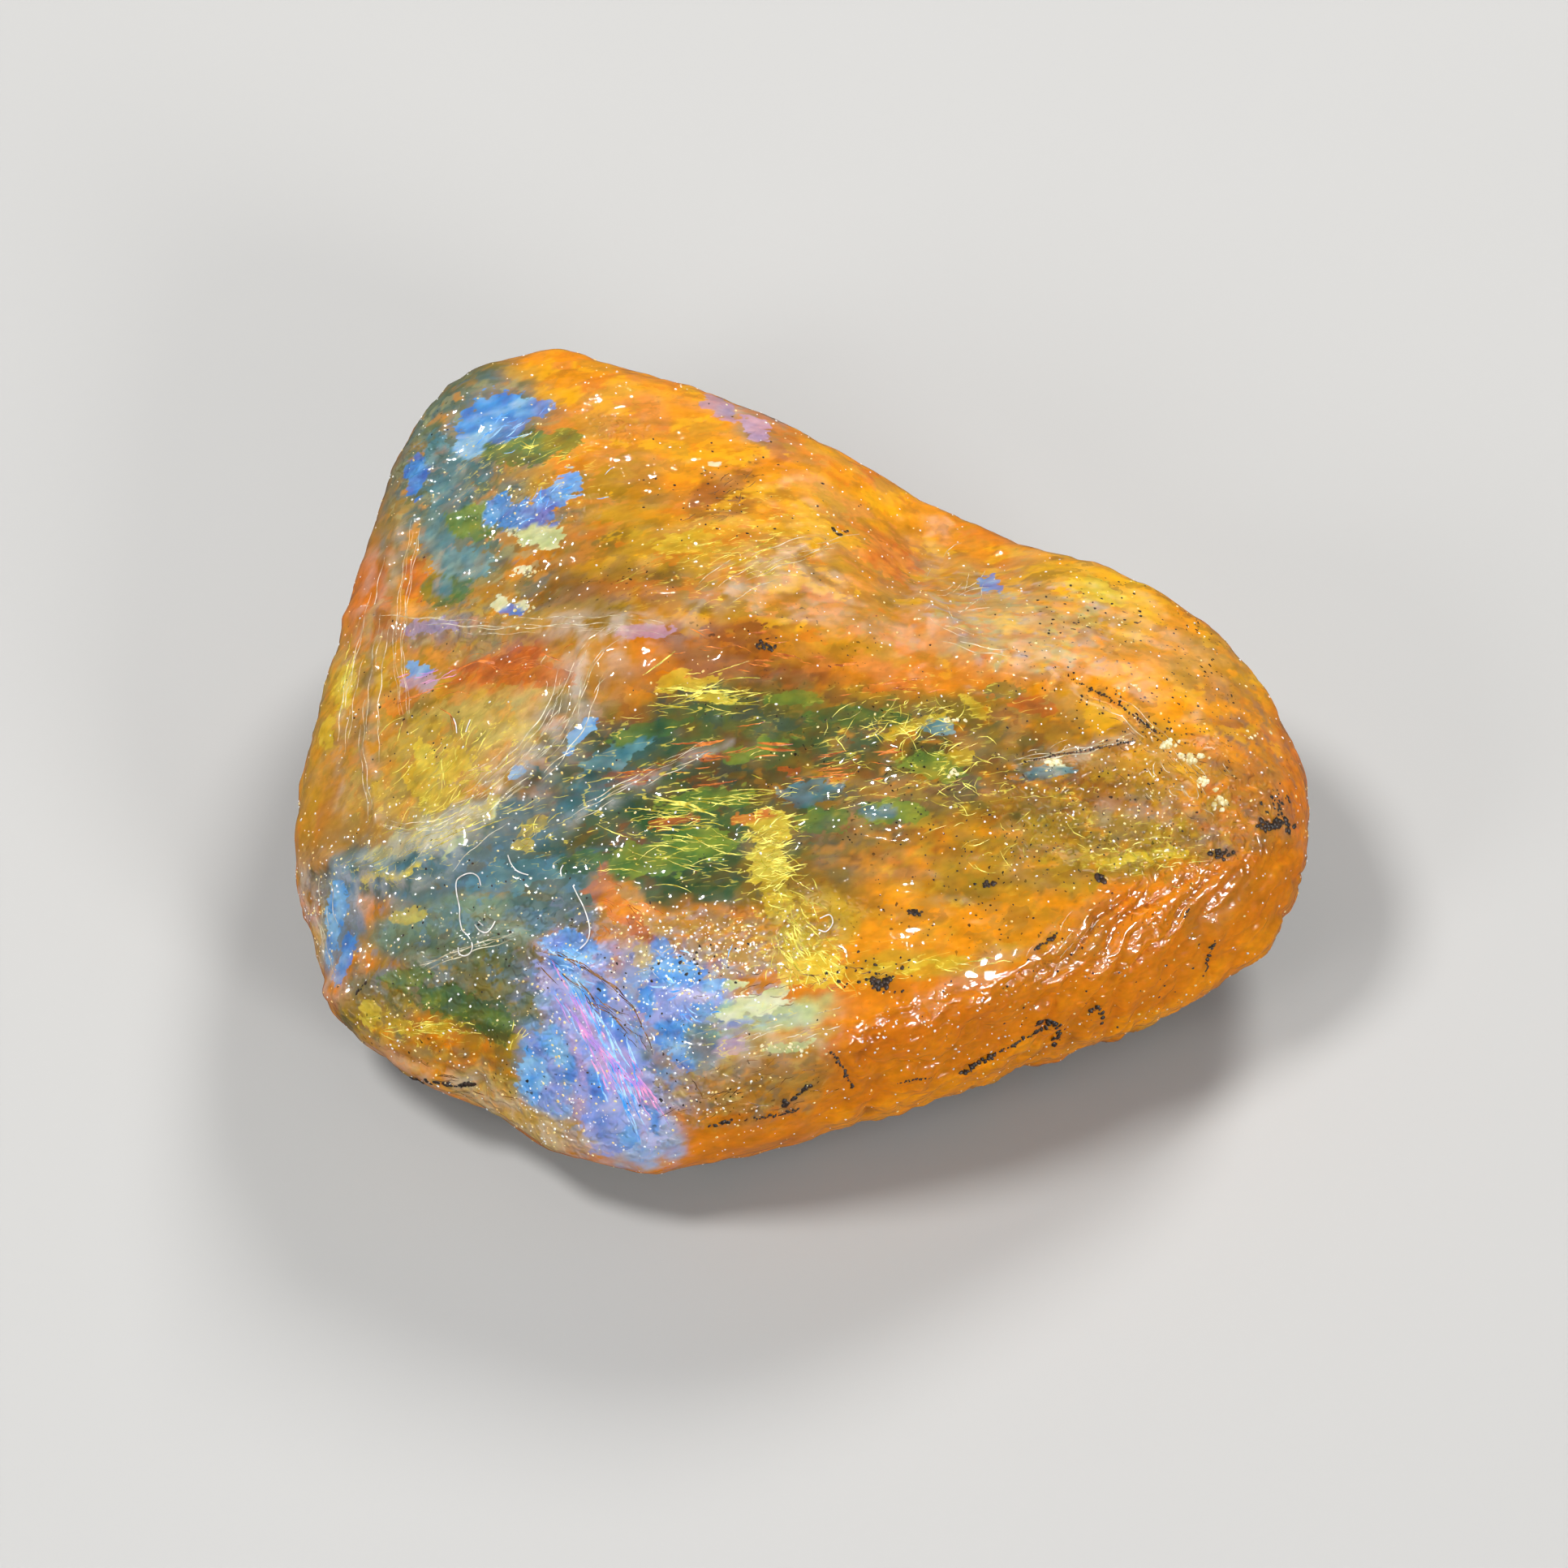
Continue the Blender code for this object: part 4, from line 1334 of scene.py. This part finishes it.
for family, tones in THREAD_TONES.items():
    heap = Heap()
    for patch, count, least, most, thick, heading, spread, bend in THREAD_PATCHES[family]:
        x, y, across, down, turn = patch
        cos, sin = math.cos(math.radians(turn)), math.sin(math.radians(turn))
        for _ in range(count):
            u, v = thread_rng.gauss(0, 0.5 * across), thread_rng.gauss(0, 0.5 * down)
            start = (x + u * cos + v * sin, y - u * sin + v * cos)
            length = thread_rng.uniform(least, most)
            way = heading + thread_rng.gauss(0, 0.6 * spread)
            pixels = curved(*start, length, way, thread_rng.uniform(-bend, bend))
            lay_thread(heap, pixels, PIXEL * thick * thread_rng.uniform(0.35, 1.0))
    for line, count, aside, thick in THREAD_LINES[family]:
        for _ in range(count):
            first = thread_rng.uniform(0, 0.7) if count > 5 else thread_rng.uniform(0, 0.1)
            last = min(1.0, first + (thread_rng.uniform(0.15, 0.5) if count > 5 else 1.0))
            pixels = along(line, first, last, thread_rng.gauss(0, 0.5 * aside))
            lay_thread(heap, pixels, PIXEL * thick * thread_rng.uniform(0.35, 1.0))
    heap.piece(f"{family}_threads", speckled(f"{family}_thread", *tones, 0.25, 0.4))

# %% [markdown]
# Black and brown crust from the host rock sits in rows along the lower edge, in a few thick
# clots, and as pepper all over. Rows and clots are written by pixel, and each grain is drawn by
# lot around them. Grains were chosen over paint because the clots stand up from the skin.

# %% Crust
CRUST_LINES = (
    # line of pixels, size of a lump in pixels
    (((1186, 1323), (1200, 1312), (1216, 1305), (1236, 1294),
        (1254, 1284), (1275, 1272), (1294, 1262)), 3.4),
    (((1276, 1264), (1290, 1256), (1302, 1262), (1304, 1275), (1297, 1288)), 4.2),
    (((1340, 1248), (1350, 1241), (1358, 1250), (1357, 1262)), 4.0),
    (((1484, 1200), (1488, 1186), (1492, 1170), (1498, 1156)), 3.5),
    (((1458, 1132), (1466, 1120)), 2.5),
    (((1274, 1170), (1290, 1160), (1304, 1148)), 3.2),
    (((1026, 1298), (1036, 1312), (1044, 1326), (1052, 1340)), 3.6),
    (((966, 1362), (978, 1354), (988, 1346), (998, 1334)), 4.2),
    (((875, 1386), (890, 1383), (904, 1380)), 4.0),
    (((930, 1378), (960, 1374), (985, 1366)), 2.6),
    (((1320, 838), (1360, 856), (1400, 884), (1430, 905)), 2.0),
    (((1260, 940), (1300, 930), (1340, 924), (1400, 912)), 1.8),
    (((1106, 1336), (1125, 1330), (1150, 1328)), 2.0),
    (((480, 1322), (520, 1332), (560, 1338), (586, 1336)), 3.6),
    (((440, 1224), (446, 1216), (452, 1208)), 3.2),
    (((1026, 654), (1038, 658), (1046, 652)), 4.0),
    (((936, 790), (944, 796), (952, 800)), 3.4),
)
CRUST_CLUSTERS = (
    # pixel right, pixel down, spread across, spread down, count, size in pixels
    (1572, 1016, 18, 7, 48, 3.8),
    (1574, 990, 18, 24, 30, 2.4),
    (1505, 1052, 12, 6, 18, 3.0),
    (1083, 1211, 14, 7, 26, 3.6),
    (1354, 1081, 8, 6, 14, 4.0),
    (1128, 1124, 8, 4, 12, 3.6),
    (1216, 1090, 9, 3, 9, 3.0),
    (945, 797, 12, 6, 12, 3.0),
    (1060, 1200, 60, 20, 30, 2.4),
    (870, 1190, 60, 20, 26, 2.2),
    (1230, 1050, 180, 90, 110, 1.3),
    (1420, 900, 150, 120, 170, 1.4),
    (1000, 900, 300, 160, 120, 1.2),
    (1350, 760, 130, 40, 60, 1.8),
    (900, 600, 160, 90, 50, 1.8),
    (600, 1150, 180, 120, 80, 1.5),
    (760, 1290, 90, 90, 50, 1.5),
    (1300, 1220, 240, 70, 70, 1.6),
    (500, 850, 80, 160, 50, 1.6),
)
CRUST_SPACING = 2.6  # pixels between lumps of a row
CRUST_ROUGHNESS = 0.35
crust_rng = random.Random(5)
crust = Heap()
for line, size in CRUST_LINES:
    for (ax, ay), (bx, by) in zip(line, line[1:]):
        count = max(2, int(math.hypot(bx - ax, by - ay) / CRUST_SPACING))
        for i in range(count):
            x = ax + (bx - ax) * i / count + crust_rng.gauss(0, 0.35 * size)
            y = ay + (by - ay) * i / count + crust_rng.gauss(0, 0.35 * size)
            place, direction = on_skin(x, y)
            if place:
                lump_size = PIXEL * size * crust_rng.uniform(0.4, 1.0)
                crust.lump(place, direction, lump_size, FLATNESS, crust_rng, CRUST_ROUGHNESS)
scatter(crust, crust_rng, CRUST_CLUSTERS, CRUST_ROUGHNESS)
crust.piece("crust", speckled("dark_crust", (22, 15, 10), (62, 40, 22), 0.5, 0.1))

# %% [markdown]
# Pale crumbs lie in the crease at the right and dust lies nearly everywhere, thickest where the
# skin is rough. Dust is spread by area over the whole skin, so the hidden sides get it too, and
# then heaped up in the places where the photograph shows more. The heaps sit where the skin
# sparkles, so their white and pale gold dots are partly dust and partly painted sparkle.

# %% Pale crumbs
CRUMB_CLUSTERS = (
    (1440, 916, 14, 8, 14, 3.6),
    (1470, 934, 14, 6, 12, 4.2),
    (1482, 964, 9, 8, 12, 4.2),
    (1500, 990, 9, 10, 12, 3.8),
    (1300, 938, 12, 5, 10, 4.6),
    (1168, 888, 16, 5, 8, 3.0),
    (1172, 953, 10, 5, 8, 3.0),
    (1390, 848, 18, 6, 10, 2.6),
    (1540, 905, 16, 8, 9, 2.4),
    (970, 1292, 40, 8, 24, 2.4),
    (648, 706, 14, 5, 10, 3.2),
    (640, 752, 20, 12, 12, 3.0),
)
crumb_rng = random.Random(8)
crumbs = Heap()
scatter(crumbs, crumb_rng, CRUMB_CLUSTERS, 0.3)
crumb_finish = speckled("pale_crumb", (206, 186, 120), (244, 236, 196), 0.6, 0.12)
crumbs.piece("pale_crumbs", crumb_finish)

# %% Dust and painted sparkle
DUST_EVEN = 3000
# heaps of white and pale gold dots where the skin sparkles: partly dust, partly painted sparkle
DUST_AND_SPARKLE_CLUSTERS = (
    (690, 1290, 70, 130, 180), (835, 1225, 80, 90, 200), (880, 1168, 150, 50, 320),
    (620, 620, 110, 40, 90),
    (385, 1130, 40, 130, 120), (620, 1170, 220, 90, 220), (470, 1300, 150, 60, 120),
    (640, 1380, 160, 50, 140),
    (860, 1360, 120, 50, 90), (1150, 1270, 200, 60, 150), (1380, 1000, 220, 110, 200),
    (700, 1000, 200, 120, 160),
)
DOT_FLATNESS, DOT_ROUGHNESS = 0.8, 0.2
EVEN_SIZES, HEAPED_SIZES = (0.7, 0.9, 1.1, 1.5), (0.7, 0.9, 1.2, 1.6)  # pixels
dust_rng = random.Random(3)
white_dust_and_sparkle, gold_dust_and_sparkle = Heap(), Heap()


def drop_dot(place, direction, gold_share, sizes):
    """One speck: its colour and its size are drawn by lot."""
    heap = gold_dust_and_sparkle if dust_rng.random() < gold_share else white_dust_and_sparkle
    size = PIXEL * dust_rng.choice(sizes)
    heap.lump(place, direction, size, DOT_FLATNESS, dust_rng, DOT_ROUGHNESS)


areas = np.zeros(len(skin.polygons))
skin.polygons.foreach_get("area", areas)
reach = np.cumsum(areas) / areas.sum()
for pick in np.random.default_rng(3).random(DUST_EVEN):
    face = skin.polygons[int(np.searchsorted(reach, pick))]
    if face.center.z > 0.5 * MM:
        drop_dot(face.center / MM, face.normal, 0.4, EVEN_SIZES)
for x, y, across, down, count in DUST_AND_SPARKLE_CLUSTERS:
    for _ in range(count):
        pixel = x + dust_rng.gauss(0, 0.5 * across), y + dust_rng.gauss(0, 0.5 * down)
        place, direction = on_skin(*pixel)
        if place:
            drop_dot(place, direction, 0.45, HEAPED_SIZES)
white_finish = speckled("white_dust_and_sparkle", (226, 226, 226), (252, 252, 250), 0.5, 0.2)
white_dust_and_sparkle.piece("white_dust_and_sparkle", white_finish)
gold_finish = speckled("gold_dust_and_sparkle", (240, 206, 120), (252, 236, 176), 0.5, 0.2)
gold_dust_and_sparkle.piece("gold_dust_and_sparkle", gold_finish)

# %% [markdown]
# A few textile fibres have settled on the stone. Each is a round tube along a smooth curve that
# runs through the points where the fibre was seen and stands a hair's breadth off the skin.

# %% Lint
LINT = (
    ((593, 1091), (590, 1081), (582, 1076), (572, 1078), (563, 1085),
        (563, 1100), (567, 1119), (567, 1132), (570, 1146), (577, 1154),
     (582, 1163), (580, 1173), (573, 1177), (566, 1174), (565, 1167)),
    ((706, 1092), (712, 1104), (719, 1117), (724, 1132), (727, 1146), (724, 1160), (715, 1170)),
    ((626, 1054), (630, 1064), (636, 1072), (643, 1076), (651, 1078)),
    ((586, 1140), (592, 1148), (600, 1150), (606, 1144), (610, 1136)),
    ((590, 1136), (596, 1142)),
    ((692, 1080), (691, 1072), (694, 1066)),
    ((560, 886), (563, 894), (564, 904)),
    ((580, 888), (577, 896), (575, 903)),
    ((1010, 1132), (1022, 1128), (1026, 1138), (1018, 1148), (1008, 1146)),
)
LINT_RADIUS = 0.021  # mm
LINT_LIFT = 0.05  # mm from the skin


def through(path, per_span=5):
    """A smooth curve through the points (the rounded kind that passes through each one)."""
    ends = [path[0] * 2 - path[1]] + path + [path[-1] * 2 - path[-2]]
    made = []
    for a, b, c, d in zip(ends, ends[1:], ends[2:], ends[3:]):
        for i in range(per_span):
            t = i / per_span
            bend, twist = 2 * a - 5 * b + 4 * c - d, 3 * b - a - 3 * c + d
            made.append(0.5 * (2 * b + (c - a) * t + bend * t**2 + twist * t**3))
    return made + [path[-1]]


lint_curve = bpy.data.curves.new("lint", "CURVE")
lint_curve.dimensions = "3D"
lint_curve.bevel_depth = LINT_RADIUS * MM
lint_curve.bevel_resolution = 2
lint_curve.use_fill_caps = True
for fibre in LINT:
    path = []
    for x, y in fibre:
        place, direction = on_skin(x, y)
        path.append(place + direction * LINT_LIFT)
    smooth_path = through(path)
    spline = lint_curve.splines.new("POLY")
    spline.points.add(len(smooth_path) - 1)
    for point, place in zip(spline.points, smooth_path):
        point.co = (*(place * MM), 1.0)
lint_helper = add_object("helper", lint_curve)
graph = bpy.context.evaluated_depsgraph_get()
lint_mesh = bpy.data.meshes.new_from_object(lint_helper.evaluated_get(graph))
bpy.data.objects.remove(lint_helper)
lint_mesh.materials.clear()
lint_mesh.materials.append(speckled("pale_fibre", (214, 210, 204), (250, 248, 244), 0.45, 0.3))
lint = add_object("lint", lint_mesh)
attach(lint, "root")
print(f"lint: {len(LINT)} fibres, {len(lint_mesh.polygons)} faces")

# %% [markdown]
# The stone lies on a plain pale floor under four soft lamps. Soft lamps alone would leave wide
# white patches on a wet skin, so they light it without glare. The glints come from small lamps
# that are put where a pixel's mirror direction points, and these are seen in the gloss only.

# %% Floor
FLOOR_HALF = 2.0  # metres
FLOOR_TONES = (seen_colour(180, 179, 176), seen_colour(185, 184, 182))
floor_mesh = bpy.data.meshes.new("floor")
CORNERS = ((-1, -1), (1, -1), (1, 1), (-1, 1))
floor_corners = [(i * FLOOR_HALF, j * FLOOR_HALF, 0) for i, j in CORNERS]
floor_mesh.from_pydata(floor_corners, [], [(0, 1, 2, 3)])
floor = add_object("floor", floor_mesh)
floor_finish = Recipe("pale_floor")
floor_tone = floor_finish.mix(floor_finish.grain(60, detail=2.0), *FLOOR_TONES)
floor_finish.put(floor_finish.shader.inputs["Base Color"], floor_tone)
floor_finish.put(floor_finish.shader.inputs["Roughness"], 0.7)
floor_mesh.materials.append(floor_finish.material)
floor.visible_glossy = False
print(f"floor {2 * FLOOR_HALF:.0f} m wide")

# %% Soft lamps
LIGHTS = (
    # name, place in mm, width in mm, power in watts
    ("key", (-190, 10, 340), 110, 1.05),
    ("left fill", (-260, -230, 190), 130, 0.4),
    ("front fill", (230, -300, 150), 130, 1.0),
    ("high back", (150, 300, 240), 120, 1.5),
)


def stand_lamp(name, place, aim, width, power):
    """A round lamp at a place in mm, turned towards another place in mm."""
    light = bpy.data.lights.new(name, "AREA")
    light.shape = "DISK"
    light.size = width * MM
    light.energy = power
    lamp = add_object(name, light)
    lamp.location = Vector(place) * MM
    lamp.rotation_euler = Vector(aim - place).to_track_quat("-Z", "Y").to_euler()
    return lamp


for name, place, width, power in LIGHTS:
    stand_lamp(name, Vector(place), Vector((0, 0, 0)), width, power).visible_glossy = False
print(f"{len(LIGHTS)} soft lamps, {sum(light[3] for light in LIGHTS):.2f} watts")

# %% Glints
GLINTS = (
    # pixel right, pixel down, width of the lamp in mm, watts
    (640, 622, 12, 0.1), (757, 526, 7, 0.03), (860, 1175, 13, 0.13), (835, 1225, 13, 0.12),
    (700, 1250, 16, 0.18), (392, 1150, 16, 0.18), (620, 1360, 16, 0.18), (1180, 1240, 50, 0.3),
    (1310, 1160, 90, 1.3), (1480, 1120, 40, 0.15),
)
GLINT_DISTANCE = 330.0  # mm
NEARBY = (-14, 0, 14)  # pixels, to take the mean slope of a small area
LOWEST_GLINT = 0.16  # upward part of the direction to the lamp
for x, y, width, power in GLINTS:
    hits = [on_skin(x + i, y + j) for i in NEARBY for j in NEARBY]
    place = hits[4][0]
    slope = sum((direction for _, direction in hits if direction), Vector()).normalized()
    back = (Vector(EYE) - place).normalized()
    mirrored = 2 * slope.dot(back) * slope - back
    mirrored.z = max(mirrored.z, LOWEST_GLINT)
    lamp = stand_lamp("glint", place + mirrored.normalized() * GLINT_DISTANCE, place, width, power)
    lamp.visible_diffuse = lamp.visible_transmission = False
    print("glint lamp towards", tuple(round(v, 2) for v in mirrored.normalized()))

# %% Room light and tone
world = bpy.data.worlds.new("studio")
world.use_nodes = True
room_light = world.node_tree.nodes["Background"].inputs
room_light["Color"].default_value = (0.9, 0.92, 1.0, 1.0)
room_light["Strength"].default_value = 0.12
bpy.context.scene.world = world
bpy.context.scene.view_settings.view_transform = "Standard"
cycles = bpy.context.scene.cycles
cycles.max_bounces, cycles.diffuse_bounces, cycles.glossy_bounces = 3, 1, 1
cycles.transmission_bounces, cycles.transparent_max_bounces = 2, 2
cycles.caustics_reflective = cycles.caustics_refractive = False
print("light bounces at most", cycles.max_bounces, "times")
